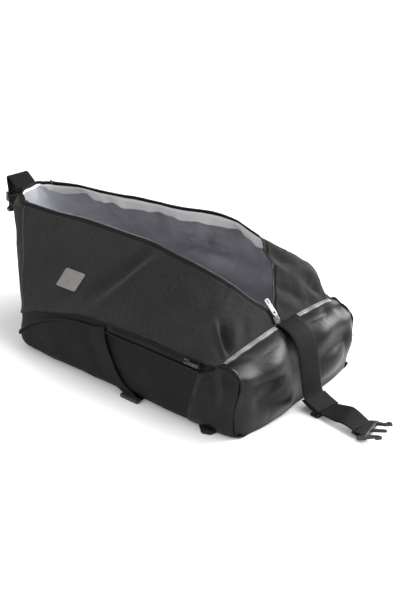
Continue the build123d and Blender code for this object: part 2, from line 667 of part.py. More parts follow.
BUCKLE_HALF = 24.5
RAIL = 4.0
RAIL_THICKNESS = 6.4
PRONG_THICKNESS = 4.0
BODY_FROM = 5.2
BODY_TO = 10.5
PRONG_TIP = 35.0
GUIDE_PRONG = [(BODY_TO - 1, -2.6), (PRONG_TIP - 1, -2.0), (PRONG_TIP, 0), (PRONG_TIP - 1, 2.0), (BODY_TO - 1, 2.6)]
LATCH_PRONG = [(BODY_TO - 1, 22.5), (24, 19.5), (25, 23.5), (29, 24.0), (PRONG_TIP, 20.5), (PRONG_TIP, 17.5),
               (24, 15.5), (BODY_TO - 1, 17.5)]
with BuildPart() as male_buckle:
    with BuildSketch(BUCKLE_PLANE.offset(-RAIL_THICKNESS / 2)):
        with Locations(((BODY_TO - 4) / 2, BUCKLE_HALF - RAIL / 2), ((BODY_TO - 4) / 2, -BUCKLE_HALF + RAIL / 2)):
            Rectangle(BODY_TO + 4, RAIL)
        with Locations(((BODY_FROM + BODY_TO) / 2, 0)):
            Rectangle(BODY_TO - BODY_FROM, 2 * BUCKLE_HALF - 1)
    extrude(amount=RAIL_THICKNESS)
    with BuildSketch(Plane(origin=BAR - BUCKLE_AXIS * (BUCKLE_HALF - 1), x_dir=BUCKLE_DIR, z_dir=BUCKLE_AXIS)):
        Circle(BAR_R)
    extrude(amount=2 * BUCKLE_HALF - 2)
    with BuildSketch(BUCKLE_PLANE.offset(-PRONG_THICKNESS / 2)):
        with BuildLine():
            Polyline(*GUIDE_PRONG, close=True)
        make_face()
        for flank in (-1, 1):
            with BuildLine():
                Polyline(*[(x, flank * y) for x, y in LATCH_PRONG], close=True)
            make_face()
    extrude(amount=PRONG_THICKNESS)
finish(male_buckle.part, "male_buckle")

# ---------------------------------------------------------------- bow loop and its buckle
LOOP_OUT = Vector(-0.98, 0.197, 0).normalized()
LOOP_SIDE = Vector(LOOP_OUT.Y, -LOOP_OUT.X, 0)
LOOP_ROOT = Vector(-306, -4, 0)
LOOP_ROUTE = [(4, 184), (13, 198), (36, 209), (39, 203), (36, 192), (34.5, 185)]
LOOP_BAR = (34.0, 178.5)
SEWN_UP_TO = 7.5         # the end of the webbing that is sewn back on itself above the bar


def loop_point(distance, height):
    return LOOP_ROOT + LOOP_OUT * distance + Vector(0, 0, height)


with BuildPart() as top_loop:
    with BuildLine():
        route = FilletPolyline(*[loop_point(d, h) for d, h in LOOP_ROUTE], radius=arc_radii(LOOP_ROUTE))
    with BuildSketch(Plane(origin=route @ 0, x_dir=LOOP_SIDE, z_dir=route % 0)):
        Rectangle(STRAP_WIDTH, WEB)
    sweep(path=route.wire())
    with BuildSketch(Plane(origin=LOOP_ROOT, x_dir=LOOP_OUT, z_dir=LOOP_SIDE)):
        with Locations(LOOP_BAR):
            Circle(RING_R)
        with BuildLine():
            Polyline((33.7, LOOP_BAR[1] + SEWN_UP_TO), (33.2, LOOP_BAR[1]), (35.0, LOOP_BAR[1]),
                     (35.5, LOOP_BAR[1] + SEWN_UP_TO), close=True)
        make_face()
        with Locations(LOOP_BAR):
            Circle(BAR_R + BAR_CLEARANCE, mode=Mode.SUBTRACT)
    extrude(amount=STRAP_WIDTH / 2, both=True)
finish(top_loop.part, "top_loop")

LOOP_BAR_POINT = loop_point(*LOOP_BAR)
FEMALE_PLANE = Plane(origin=LOOP_BAR_POINT, x_dir=(0, 0, -1), z_dir=LOOP_OUT)
FEMALE_LENGTH = 31.0
FEMALE_FROM = 5.2
FEMALE_HALF = 24.0
FEMALE_THICKNESS = 10.0
SOCKET_HEIGHT = 6.0
SOCKET_FROM = FEMALE_FROM + 4
WINDOW = (13.0, 9.0)     # side openings for thumb and finger
WINDOW_CENTRE = 19.0
EAR = (10.5, 4.0)
EAR_CENTRE = 1.6
with BuildPart() as female_buckle:
    with BuildSketch(FEMALE_PLANE.offset(-FEMALE_THICKNESS / 2)):
        with Locations(((FEMALE_FROM + FEMALE_LENGTH) / 2, 0)):
            RectangleRounded(FEMALE_LENGTH - FEMALE_FROM, 2 * FEMALE_HALF, 4)
        with Locations((EAR_CENTRE, FEMALE_HALF - EAR[1] / 2), (EAR_CENTRE, -FEMALE_HALF + EAR[1] / 2)):
            Rectangle(*EAR)
    extrude(amount=FEMALE_THICKNESS)
    with BuildSketch(FEMALE_PLANE.offset(-SOCKET_HEIGHT / 2)):
        with Locations(((SOCKET_FROM + FEMALE_LENGTH) / 2 + 2, 0)):
            Rectangle(FEMALE_LENGTH - SOCKET_FROM + 4, 2 * FEMALE_HALF - 5)
    extrude(amount=SOCKET_HEIGHT, mode=Mode.SUBTRACT)
    with BuildSketch(FEMALE_PLANE.offset(-FEMALE_THICKNESS / 2 - 1)):
        with Locations((WINDOW_CENTRE, FEMALE_HALF), (WINDOW_CENTRE, -FEMALE_HALF)):
            RectangleRounded(*WINDOW, 3.0)
    extrude(amount=FEMALE_THICKNESS + 2, mode=Mode.SUBTRACT)
    with BuildSketch(Plane(origin=LOOP_BAR_POINT - LOOP_SIDE * (FEMALE_HALF - 1), x_dir=(0, 0, 1), z_dir=LOOP_SIDE)):
        Circle(BAR_R)
    extrude(amount=2 * FEMALE_HALF - 2)
finish(female_buckle.part, "female_buckle")

# ---------------------------------------------------------------- side straps and anchors
SIDE_STRAP_WIDTH = 30.0
SIDE_STRAP_OUTSIDE = [(143.0, 90.4), (147.5, 80), (152.0, 50), (152.0, 14), (147.0, 6.3), (143.6, 2.0), (141, 0.2)]
SIDE_STRAP_DRIFT = [-26, -21, -4, 22, 32, 38, 42]
LOCK_CENTRE = (46, 154)
LOCK = (34.0, 9.0, 2.0)
LOCK_SLOT = (30.6, 2.4)
LOCK_SLOT_OFFSET = 1.2
LOCK_FOOT = 0.3
LOCK_THICKNESS = 5.5
TAB_CORNERS = [(164, 139.5), (200, 139.5), (197, 153), (184, 157)]
TAB_FOOT = 0.2
for word, side in SIDES:
    with BuildPart() as side_strap:
        for (y, z), x in zip(SIDE_STRAP_OUTSIDE, SIDE_STRAP_DRIFT):
            with BuildSketch(Plane.XY.offset(z)):
                with Locations((x, side * (y + WEB / 2 + 0.2))):
                    Rectangle(SIDE_STRAP_WIDTH, WEB)
        loft(ruled=True)
    finish(side_strap.part, f"{word}_side_strap")

    with BuildPart() as ladder_lock:
        with BuildSketch(Plane.XY.offset(LOCK_FOOT)):
            with Locations((LOCK_CENTRE[0], side * LOCK_CENTRE[1])):
                RectangleRounded(*LOCK)
                with Locations((0, -side * LOCK_SLOT_OFFSET)):
                    Rectangle(*LOCK_SLOT, mode=Mode.SUBTRACT)
        extrude(amount=LOCK_THICKNESS)
    finish(ladder_lock.part, f"{word}_ladder_lock")

    with BuildPart() as corner_tab:
        with BuildSketch(Plane.XY.offset(TAB_FOOT)):
            with BuildLine():
                Polyline(*[(x, side * y) for x, y in TAB_CORNERS], close=True)
            make_face()
        extrude(amount=WEB)
    finish(corner_tab.part, f"{word}_corner_tab")
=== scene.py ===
import json
import math

import bmesh
import bpy
import numpy as np
from mathutils import Matrix, Vector, noise


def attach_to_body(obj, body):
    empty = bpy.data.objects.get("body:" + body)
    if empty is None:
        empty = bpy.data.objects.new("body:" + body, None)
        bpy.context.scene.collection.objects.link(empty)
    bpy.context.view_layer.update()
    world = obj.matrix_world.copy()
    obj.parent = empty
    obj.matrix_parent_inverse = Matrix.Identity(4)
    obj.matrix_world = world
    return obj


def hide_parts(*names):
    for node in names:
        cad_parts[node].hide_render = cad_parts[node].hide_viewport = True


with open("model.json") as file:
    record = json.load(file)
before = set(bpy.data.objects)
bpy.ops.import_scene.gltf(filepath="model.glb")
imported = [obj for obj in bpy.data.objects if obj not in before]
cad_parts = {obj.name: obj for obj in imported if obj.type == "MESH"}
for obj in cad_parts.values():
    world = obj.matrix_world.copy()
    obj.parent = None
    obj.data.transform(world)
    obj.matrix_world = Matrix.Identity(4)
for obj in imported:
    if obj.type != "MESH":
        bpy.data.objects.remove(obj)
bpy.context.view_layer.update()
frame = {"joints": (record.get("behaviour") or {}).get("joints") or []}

# A roll-top shoe bag that lies on its back with the long front zip open. Lengths below are in
# millimetres in the part's frame, unless a comment says metres, and MM turns them into metres.
MM = 0.001
X_WAY, Y_WAY, UP = (1, 0, 0), (0, 1, 0), (0, 0, 1)
BAG = "bag"
SIDES = (("near", -1), ("far", 1))
JOINTS = {joint["name"]: joint for joint in frame["joints"]}


def joint_place(name):
    return np.array(JOINTS[name]["pos_m"]) / MM


def joint_axis(name):
    return np.array(JOINTS[name]["axis"])


def attach(piece, node=None, body=BAG):
    """Lets a piece ride on a body, in place of the CAD node it stands for, if any."""
    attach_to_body(piece, body)
    if node:
        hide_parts(node)
    return piece


# ---------------------------------------------------------------- camera, light and floor, in metres
def aim(thing, place, target):
    thing.location = place
    thing.rotation_euler = (Vector(target) - Vector(place)).to_track_quat("-Z", "Y").to_euler()
    bpy.context.scene.collection.objects.link(thing)


def add_camera():
    lens = bpy.data.cameras.new("camera")
    lens.lens = 79.1
    lens.sensor_width = 36
    lens.clip_start = 0.01
    camera = bpy.data.objects.new("camera", lens)
    aim(camera, (1.17980, -1.35665, 1.02244), (0.04495, 0.00761, 0.10))
    bpy.context.scene.camera = camera


def add_softbox(name, place, target, size, power, tint=(1, 1, 1)):
    lamp = bpy.data.lights.new(name, "AREA")
    lamp.shape = "RECTANGLE"
    lamp.size, lamp.size_y = size
    lamp.energy = power
    lamp.color = tint
    aim(bpy.data.objects.new(name, lamp), place, target)


def add_studio():
    world = bpy.data.worlds.new("studio")
    world.use_nodes = True
    world.node_tree.nodes["Background"].inputs["Color"].default_value = (1.0, 1.0, 1.0, 1)
    world.node_tree.nodes["Background"].inputs["Strength"].default_value = 0.72
    bpy.context.scene.world = world
    bpy.context.scene.view_settings.view_transform = "Standard"
    add_softbox("key_light", (0.7, 0.6, 1.95), (0, 0, 0.1), (1.3, 1.0), 30)
    add_softbox("side_light", (1.9, -0.2, 0.9), (0.1, 0, 0.1), (0.9, 1.2), 7)
    add_softbox("front_light", (-0.6, -1.8, 1.2), (0, 0, 0.1), (1.4, 1.0), 15)
    add_softbox("back_light", (0.85, 1.8, 1.0), (0.15, 0, 0.1), (1.7, 0.8), 72)


def add_floor():
    size = 6.0
    mesh = bpy.data.meshes.new("floor")
    corners = [(-size, -size, 0), (size, -size, 0), (size, size, 0), (-size, size, 0)]
    mesh.from_pydata(corners, [], [(0, 1, 2, 3)])
    floor = bpy.data.objects.new("floor", mesh)
    bpy.context.scene.collection.objects.link(floor)
    pale = Finish("studio_floor", Base_Color=(0.92, 0.92, 0.92, 1), Roughness=0.75)
    cloudy = pale.noise(pale.place(), 3.0, 3)
    pale.colour(pale.ramp(cloudy, ((0.3, (0.90, 0.90, 0.90)), (0.7, (0.93, 0.93, 0.93)))))
    mesh.materials.append(pale.material)


# ---------------------------------------------------------------- finishes, with their lengths in metres
class Finish:
    """A procedural material being made, with short ways to add nodes and join them."""

    def __init__(self, name, slot=None, **sockets):
        self.material = bpy.data.materials.new("made_" + name)
        self.material["slot"] = slot or name
        self.material.use_nodes = True
        self.nodes = self.material.node_tree.nodes
        self.links = self.material.node_tree.links
        self.shader = self.nodes["Principled BSDF"]
        for socket, value in sockets.items():
            self.shader.inputs[socket.replace("_", " ")].default_value = value

    def add(self, kind, inputs, **settings):
        node = self.nodes.new("ShaderNode" + kind)
        for key, value in settings.items():
            setattr(node, key, value)
        for key, value in inputs.items():
            if isinstance(value, bpy.types.NodeSocket):
                self.links.new(value, node.inputs[key])
            else:
                node.inputs[key].default_value = value
        return node

    def place(self, scale=(1, 1, 1), cloth=False):
        """Coordinates in metres times a scale, on the cloth's own weave or in space."""
        if cloth:
            source = self.add("UVMap", {}, uv_map="cloth").outputs["UV"]
        else:
            source = self.add("TexCoord", {}).outputs["Object"]
        return self.add("Mapping", {"Vector": source, "Scale": scale}).outputs["Vector"]

    def noise(self, vector, scale, detail=4, roughness=0.55):
        inputs = {"Vector": vector, "Scale": scale, "Detail": detail, "Roughness": roughness}
        return self.add("TexNoise", inputs).outputs["Fac"]

    def math(self, operation, a, b=0.0):
        return self.add("Math", {0: a, 1: b}, operation=operation).outputs[0]

    def ramp(self, factor, stops):
        node = self.add("ValToRGB", {"Fac": factor})
        band = node.color_ramp
        while len(band.elements) < len(stops):
            band.elements.new(0.5)
        for element, (position, colour) in zip(band.elements, stops):
            element.position = position
            element.color = (*colour, 1)
        return node.outputs["Color"]

    def spread(self, factor, low, high):
        """A factor from 0 to 1 stretched to run from low to high."""
        return self.add("MapRange", {"Value": factor, "To Min": low, "To Max": high}).outputs["Result"]

    def mix(self, factor, a, b, blend="MIX"):
        node = self.add("Mix", {"Factor": factor}, data_type="RGBA", blend_type=blend)
        for key, value in ((6, a), (7, b)):
            if isinstance(value, bpy.types.NodeSocket):
                self.links.new(value, node.inputs[key])
            else:
                node.inputs[key].default_value = (*value, 1)
        return node.outputs[2]

    def colour(self, socket):
        self.links.new(socket, self.shader.inputs["Base Color"])

    def rough(self, socket):
        self.links.new(socket, self.shader.inputs["Roughness"])

    def bump(self, height, distance, strength=1.0):
        """Relief of a height from 0 to 1 that stands this many metres proud, over any set before."""
        inputs = {"Height": height, "Distance": distance, "Strength": strength}
        before = self.shader.inputs["Normal"].links
        if before:
            inputs["Normal"] = before[0].from_socket
        self.links.new(self.add("Bump", inputs).outputs["Normal"], self.shader.inputs["Normal"])

    def wave(self, vector, axis, period, shift=None):
        """A sine from 0 to 1 along one axis of coordinates in metres."""
        part = self.add("SeparateXYZ", {"Vector": vector}).outputs[axis]
        turns = self.math("MULTIPLY", part, 2 * math.pi / period)
        if shift is not None:
            turns = self.math("ADD", turns, shift)
        return self.math("MULTIPLY_ADD", self.math("SINE", turns), 0.5)


def weave_height(finish, pitch):
    """Plain weave: warp and weft that pass over each other."""
    cloth = finish.place(cloth=True)
    across = finish.wave(cloth, 0, pitch)
    along = finish.wave(cloth, 1, pitch)
    return finish.math("MULTIPLY", across, along)


YARN, FLECK_LENGTH = 0.0009, 0.007


def woven(name, dark, light, roughness, pitch, relief, fleck, sheen, gloss, slot=None):
    """Woven cloth of two yarn shades, with flecks drawn out along warp and weft."""
    finish = Finish(name, slot, Roughness=roughness, Sheen_Weight=sheen, Sheen_Roughness=0.45,
                    Specular_IOR_Level=gloss)
    warp = finish.noise(finish.place((1 / YARN, 1 / FLECK_LENGTH, 1), cloth=True), 1.0, 3, 0.7)
    weft = finish.noise(finish.place((1 / FLECK_LENGTH, 1 / YARN, 1), cloth=True), 1.0, 3, 0.7)
    yarn = finish.math("MULTIPLY", finish.math("ADD", warp, weft), 0.5)
    edge = 0.5 * (1 - fleck)
    base = finish.ramp(yarn, ((0.5 - edge * 0.5, dark), (0.5 + edge * 0.5, light)))
    patchy = finish.noise(finish.place(), 14.0, 5, 0.6)
    dusty = finish.ramp(patchy, ((0.25, (0.80, 0.80, 0.80)), (0.75, (1.18, 1.17, 1.15))))
    finish.colour(finish.mix(1.0, base, dusty, "MULTIPLY"))
    finish.rough(finish.spread(patchy, roughness - 0.06, roughness + 0.06))
    finish.bump(weave_height(finish, pitch), relief)
    finish.bump(finish.noise(finish.place(), 260.0, 3), 0.0003, 0.5)
    return finish.material


def coated(name, shade, gloss):
    """Polyurethane coated cloth: satin, with a fine pebble grain and faint scuffs."""
    finish = Finish(name, "coated_cloth", Roughness=0.40, Specular_IOR_Level=gloss)
    space = finish.place()
    worn = finish.noise(space, 22.0, 6, 0.65)
    finish.colour(finish.ramp(worn, ((0.3, grey(shade, -0.04)), (0.75, grey(shade * 1.7, -0.04)))))
    finish.rough(finish.spread(worn, 0.31, 0.42))
    pebbles = finish.add("TexVoronoi", {"Vector": space, "Scale": 1100.0}).outputs["Distance"]
    finish.bump(pebbles, 0.00012, 0.6)
    finish.bump(finish.noise(space, 420.0, 4), 0.00012, 0.6)
    return finish.material


def webbing(name, shade):
    """Strap webbing with a herringbone of fine ribs."""
    finish = Finish(name, "webbing", Roughness=0.60, Specular_IOR_Level=0.10)
    rib, herringbone = 0.0013, 0.0021
    cloth = finish.place(cloth=True)
    across = finish.add("SeparateXYZ", {"Vector": cloth}).outputs[0]
    zigzag = finish.math("PINGPONG", across, herringbone)
    slant = finish.math("MULTIPLY", zigzag, 2 * math.pi / rib)
    ribs = finish.wave(cloth, 1, rib, slant)
    lengthwise = finish.noise(finish.place((1 / 0.0012, 1 / 0.03, 1), cloth=True), 1.0, 2)
    worn = finish.spread(lengthwise, 0.82, 1.18)
    dark = (shade * 0.82, shade * 0.82, shade * 0.86)
    pale = (shade * 1.2, shade * 1.2, shade * 1.24)
    base = finish.ramp(ribs, ((0.1, dark), (0.9, pale)))
    finish.colour(finish.mix(1.0, base, worn, "MULTIPLY"))
    finish.bump(ribs, 0.00018)
    finish.bump(finish.noise(finish.place(), 700.0, 3), 0.0001, 0.5)
    return finish.material


def ribbed(name, dark, light, pitch, roughness=0.6):
    """Narrow binding or zip tape with ribs along its length."""
    finish = Finish(name, Roughness=roughness, Specular_IOR_Level=0.12)
    cloth = finish.place(cloth=True)
    ribs = finish.wave(cloth, 1, pitch)
    knots = finish.wave(cloth, 0, pitch * 0.8)
    both = finish.math("MULTIPLY", ribs, knots)
    finish.colour(finish.ramp(both, ((0.0, dark), (0.8, light))))
    finish.bump(both, 0.0002)
    return finish.material


def moulded(name, shade, roughness):
    """Moulded plastic with a faint spark-eroded grain and rubbed places."""
    finish = Finish(name, Roughness=roughness)
    space = finish.place()
    rubbed = finish.noise(space, 90.0, 5, 0.6)
    finish.colour(finish.ramp(rubbed, ((0.3, (shade * 0.85,) * 3), (0.75, (shade * 1.3,) * 3))))
    finish.rough(finish.spread(rubbed, roughness - 0.08, roughness + 0.08))
    finish.bump(finish.noise(space, 1800.0, 2), 0.00005, 0.5)
    return finish.material


def plated():
    """Satin plated metal with fine brushing."""
    finish = Finish("puller_metal", Metallic=0.6, Roughness=0.50)
    brushed = finish.noise(finish.place((300, 9000, 9000)), 1.0, 3)
    finish.colour(finish.ramp(brushed, ((0.3, (0.15, 0.15, 0.153)), (0.7, (0.24, 0.24, 0.244)))))
    finish.rough(finish.spread(brushed, 0.44, 0.58))
    return finish.material


def reflective():
    """Silver-grey reflective tape with a fine bead texture."""
    finish = Finish("reflective", Metallic=0.25, Roughness=0.38)
    space = finish.place()
    beads = finish.add("TexVoronoi", {"Vector": space, "Scale": 1500.0}).outputs["Distance"]
    worn = finish.noise(space, 60.0, 5, 0.7)
    finish.colour(finish.ramp(worn, ((0.3, (0.09, 0.092, 0.092)), (0.7, (0.23, 0.233, 0.233)))))
    finish.bump(beads, 0.0001)
    return finish.material


def rubbery(name, dark, light, roughness, grain=1400.0, slot=None, gloss=0.4):
    """Soft rubbery surface, for the patch, the piping and foam."""
    finish = Finish(name, slot, Roughness=roughness, Specular_IOR_Level=gloss)
    space = finish.place()
    cloudy = finish.noise(space, 70.0, 5, 0.6)
    finish.colour(finish.ramp(cloudy, ((0.3, dark), (0.7, light))))
    finish.bump(finish.noise(space, grain, 3), 0.00008, 0.6)
    return finish.material


def grey(value, warm=0.0):
    return (value * (1 + warm), value, value * (1 - warm))


MELANGE = woven("melange_cloth", grey(0.0065), grey(0.030, 0.02), roughness=0.86, pitch=0.0010,
                relief=0.00020, fleck=0.35, sheen=0.06, gloss=0.14)
# The bow seams' roll: the melange made lighter, a painted highlight where the seam catches the light.
SEAM_HIGHLIGHT_CLOTH = woven("melange_seam_highlight", grey(0.022), grey(0.060, 0.02), roughness=0.8, pitch=0.0010,
                   relief=0.00020, fleck=0.35, sheen=0.1, gloss=0.2, slot="melange_cloth")
NYLON = woven("nylon", grey(0.0042, -0.02), grey(0.0072, -0.02), roughness=0.62, pitch=0.0006,
              relief=0.00008, fleck=0.2, sheen=0.0, gloss=0.14)
LINING_CLOTH = woven("lining", (0.285, 0.288, 0.325), (0.37, 0.375, 0.415), roughness=0.55, pitch=0.0006,
                     relief=0.00008, fleck=0.2, sheen=0.1, gloss=0.4)
FACING_CLOTH = ribbed("facing", grey(0.60), grey(0.78), 0.0018, 0.7)
COATED = coated("coated_cloth", 0.0038, 0.20)
COATED_SIDE = coated("coated_side", 0.0035, 0.16)
WEBBING = webbing("webbing", 0.0052)
SIDE_WEBBING = webbing("side_webbing", 0.0105)
ZIP_TAPE = ribbed("zip_tape", grey(0.0055), grey(0.011), 0.0011)
ZIP_COIL = moulded("zip_coil", 0.011, 0.34)
BUCKLE = moulded("buckle_plastic", 0.013, 0.40)
METAL = plated()
DARK_METAL = moulded("slider_metal", 0.020, 0.30)
REFLECTIVE = reflective()
PATCH = rubbery("patch", grey(0.14, 0.03), grey(0.175, 0.03), 0.5)
PIPING = rubbery("piping", grey(0.004), grey(0.008), 0.48, gloss=0.12)
FOAM = rubbery("foam", grey(0.04), grey(0.06), 0.85, 500.0)
BOARD = rubbery("board", grey(0.08), grey(0.12), 0.6)
PALE_THREAD = rubbery("pale_thread", grey(0.42), grey(0.55), 0.6, slot="facing")
DARK_THREAD = rubbery("dark_thread", grey(0.010), grey(0.018), 0.5, slot="zip_tape")
PLAIN_WEBBING = rubbery("plain_webbing", grey(0.012), grey(0.020), 0.7, 600.0, slot="webbing")
THREAD = rubbery("thread", grey(0.07), grey(0.11), 0.55, slot="webbing")


# ---------------------------------------------------------------- meshes
def make_piece(name, points, faces, finish, uv=None, sharp=50):
    """A closed mesh piece of the bag, from points in millimetres, with its weave coordinates."""
    mesh = bpy.data.meshes.new(name)
    mesh.from_pydata((np.asarray(points, float) * MM).tolist(), [], faces)
    if uv is not None:
        write_uv(mesh, uv)
    tidy = bmesh.new()
    tidy.from_mesh(mesh)
    bmesh.ops.recalc_face_normals(tidy, faces=tidy.faces)
    tidy.to_mesh(mesh)
    tidy.free()
    mesh.shade_smooth()
    mesh.set_sharp_from_angle(angle=math.radians(sharp))
    mesh.materials.append(finish)
    piece = bpy.data.objects.new(name, mesh)
    bpy.context.scene.collection.objects.link(piece)
    return piece


def write_uv(mesh, uv):
    """Sets where each point lies on the cloth, in millimetres, as the weave's coordinates in metres."""
    layer = mesh.uv_layers.get("cloth") or mesh.uv_layers.new(name="cloth")
    corners = np.zeros(len(mesh.loops), int)
    mesh.loops.foreach_get("vertex_index", corners)
    layer.data.foreach_set("uv", (np.asarray(uv)[corners] * MM).ravel())


def join(name, pieces):
    """One piece from several that are sewn or moulded together."""
    for piece in pieces[1:]:
        for finish in piece.data.materials:
            if finish.name not in [m.name for m in pieces[0].data.materials]:
                pieces[0].data.materials.append(finish)
    whole = bmesh.new()
    names = [m.name for m in pieces[0].data.materials]
    for piece in pieces:
        start = len(whole.faces)
        whole.from_mesh(piece.data)
        whole.faces.ensure_lookup_table()
        own = [names.index(m.name) for m in piece.data.materials]
        for face in whole.faces[start:]:
            face.material_index = own[min(face.material_index, len(own) - 1)]
    whole.to_mesh(pieces[0].data)
    whole.free()
    for piece in pieces[1:]:
        bpy.data.objects.remove(piece)
    pieces[0].name = name
    return pieces[0]


def cubic(t, values, at):
    """The smooth curve through values at t, read at other places."""
    slopes = np.gradient(values, t, axis=0)
    k = np.clip(np.searchsorted(t, at, side="right") - 1, 0, len(t) - 2)
    shape = (-1,) + (1,) * (values.ndim - 1)
    span = (t[k + 1] - t[k]).reshape(shape)
    f = (at - t[k]).reshape(shape) / span
    rise = values[k] * (2 * f ** 3 - 3 * f ** 2 + 1) + values[k + 1] * (3 * f ** 2 - 2 * f ** 3)
    return rise + slopes[k] * span * (f ** 3 - 2 * f ** 2 + f) + slopes[k + 1] * span * (f ** 3 - f ** 2)


def bump_at(value, middle, width):
    return np.exp(-((value - middle) / width) ** 2)


def ease(value, start, end):
    """From 0 at the start to 1 at the end, with soft ends."""
    f = np.clip((value - start) / (end - start), 0, 1)
    return f * f * (3 - 2 * f)


def lengths(points):
    """How far along a line each of its points is."""
    return np.r_[0, np.cumsum(np.linalg.norm(np.diff(points, axis=0), axis=1))]


def read_at(line, way, places):
    """Points of a line at distances along it, from how far along each of its own points is."""
    return np.column_stack([np.interp(places, way, line[:, k]) for k in range(3)])


def along(points, count):
    """Evenly spaced points on the smooth curve through a few."""
    points = np.array(points, float)
    t = lengths(points)
    fine = cubic(t, points, np.linspace(0, t[-1], 30 * len(points)))
    way = lengths(fine)
    return read_at(fine, way, np.linspace(0, way[-1], count))


def unit(vectors):
    return vectors / np.maximum(np.linalg.norm(vectors, axis=-1, keepdims=True), 1e-9)


def outward(grid):
    """Normals of a grid whose second direction leads to the left of its first, seen from outside."""
    return unit(np.cross(np.gradient(grid, axis=1), np.gradient(grid, axis=0)))


def grid_faces(rows, columns, start=0, wrap=False):
    index = start + np.arange(rows * columns).reshape(rows, columns)
    if wrap:
        index = np.hstack([index, index[:, :1]])
    quads = np.stack([index[:-1, :-1], index[1:, :-1], index[1:, 1:], index[:-1, 1:]], -1)
    return quads.reshape(-1, 4)


def cloth_uv(across, along_it):
    """Where each point of a grid lies on its cloth."""
    return np.stack(np.broadcast_arrays(across, along_it), -1).reshape(-1, 2)


EDGE_ROUNDING = 0.85        # share of a full round that a sheet's edge gets


def shell(name, grid, thickness, finish):
    """A closed sheet of cloth under a grid of outside points, with its long edges rounded over."""
    rows, columns = grid.shape[:2]
    normals = outward(grid)
    across = np.array([lengths(line) for line in grid])
    length = lengths(grid[:, columns // 2])
    radius = thickness / 2
    from_edge = np.minimum(np.minimum(across, across[:, -1:] - across), radius)
    drop = radius - np.sqrt(np.maximum(radius ** 2 - (radius - from_edge) ** 2, 0))
    rounding = normals * drop[..., None] * EDGE_ROUNDING
    outer, inner = grid - rounding, grid - normals * thickness + rounding
    points = np.vstack([outer.reshape(-1, 3), inner.reshape(-1, 3)])
    faces = [grid_faces(rows, columns), grid_faces(rows, columns, rows * columns)]
    index = np.arange(rows * columns).reshape(rows, columns)
    for border in (index[0], index[-1], index[:, 0], index[:, -1]):
        faces.append(np.stack([border[:-1], border[1:], border[1:] + rows * columns,
                               border[:-1] + rows * columns], -1))
    uv = cloth_uv(length[:, None], across)
    return make_piece(name, points, np.vstack(faces).tolist(), finish, np.vstack([uv, uv]))


def band_levels(count, edge=(0.0, 0.004, 0.012)):
    """Levels from 0 to 1 with a few close to each edge, where cloth is rounded over."""
    middle = np.linspace(edge[-1], 1 - edge[-1], count)
    return np.r_[edge[:-1], middle, [1 - e for e in edge[-2::-1]]]


def ring_tube(name, rings, finish, uv_width=1.0):
    """A closed tube through rings of points, with flat ends."""
    count, sides = rings.shape[:2]
    faces = grid_faces(count, sides, wrap=True).tolist()
    faces += [list(range(sides)), list(range((count - 1) * sides, count * sides))]
    uv = cloth_uv(np.linspace(-0.5, 0.5, sides) * uv_width, lengths(rings.mean(1))[:, None])
    return make_piece(name, rings.reshape(-1, 3), faces, finish, uv)


def line_frames(line, hint):
    """Directions along a line, across it and square to both, from a hint of what is across."""
    forward = unit(np.gradient(line, axis=0))
    hint = np.broadcast_to(np.asarray(hint, float), line.shape)
    side = unit(hint - forward * (hint * forward).sum(1, keepdims=True))
    return forward, side, np.cross(forward, side)


def tube(name, line, radius, finish, sides, hint, squash=1.0, uv_width=1.0):
    """A round cord along a line, as many times wider than high as squash says."""
    _, side, up = line_frames(line, hint)
    turn = np.linspace(0, 2 * math.pi, sides, endpoint=False)
    rings = line[:, None] + radius * (side[:, None] * np.cos(turn)[None, :, None] * squash
                                      + up[:, None] * np.sin(turn)[None, :, None])
    return ring_tube(name, rings, finish, uv_width)


def ribbon(name, line, hint, width, thickness, finish, cup=0.0, wave=None, skew=False):
    """Webbing along a line, with rounded selvedges: cupped across, lifted by a wave or cut on the skew."""
    _, side, up = line_frames(line, hint)
    if skew:
        side = unit(np.broadcast_to(hint, line.shape))
    half, depth = width / 2, thickness / 2
    across = np.r_[-half, -half + depth * 0.3, np.linspace(-half + depth, half - depth, 9),
                   half - depth * 0.3, half]
    height = depth * np.r_[0.25, 0.75, np.ones(9), 0.75, 0.25]
    crown = cup * (1 - (across / half) ** 2)
    a = np.r_[across, across[::-1]]
    b = np.r_[height + crown, (crown - height)[::-1]]
    rings = line[:, None] + side[:, None] * a[None, :, None] + up[:, None] * b[None, :, None]
    if wave is not None:
        rings = rings + up[:, None] * wave(np.linspace(0, 1, len(line))[:, None], a[None] / half)[..., None]
    piece = ring_tube(name, rings, finish)
    write_uv(piece.data, cloth_uv(a, lengths(line)[:, None]))
    return piece


def rounded(corners, steps=5):
    """An outline from corners (x, y, radius), each rounded by an arc-like curve."""
    outline = []
    for i, (x, y, radius) in enumerate(corners):
        here = np.array((x, y), float)
        if radius <= 0:
            outline.append(tuple(here))
            continue
        before = np.array(corners[i - 1][:2], float) - here
        after = np.array(corners[(i + 1) % len(corners)][:2], float) - here
        start = here + before * min(radius / np.linalg.norm(before), 0.5)
        end = here + after * min(radius / np.linalg.norm(after), 0.5)
        for f in np.linspace(0, 1, steps):
            outline.append(tuple(start * (1 - f) ** 2 + here * 2 * f * (1 - f) + end * f ** 2))
    return outline


def mirrored(corners):
    """An outline's corners on both sides of its middle line, from those on one."""
    return corners + [(x, -y, radius) for x, y, radius in corners[::-1]]


def box_outline(x0, x1, y0, y1, radius):
    return rounded([(x0, y0, radius), (x1, y0, radius), (x1, y1, radius), (x0, y1, radius)])


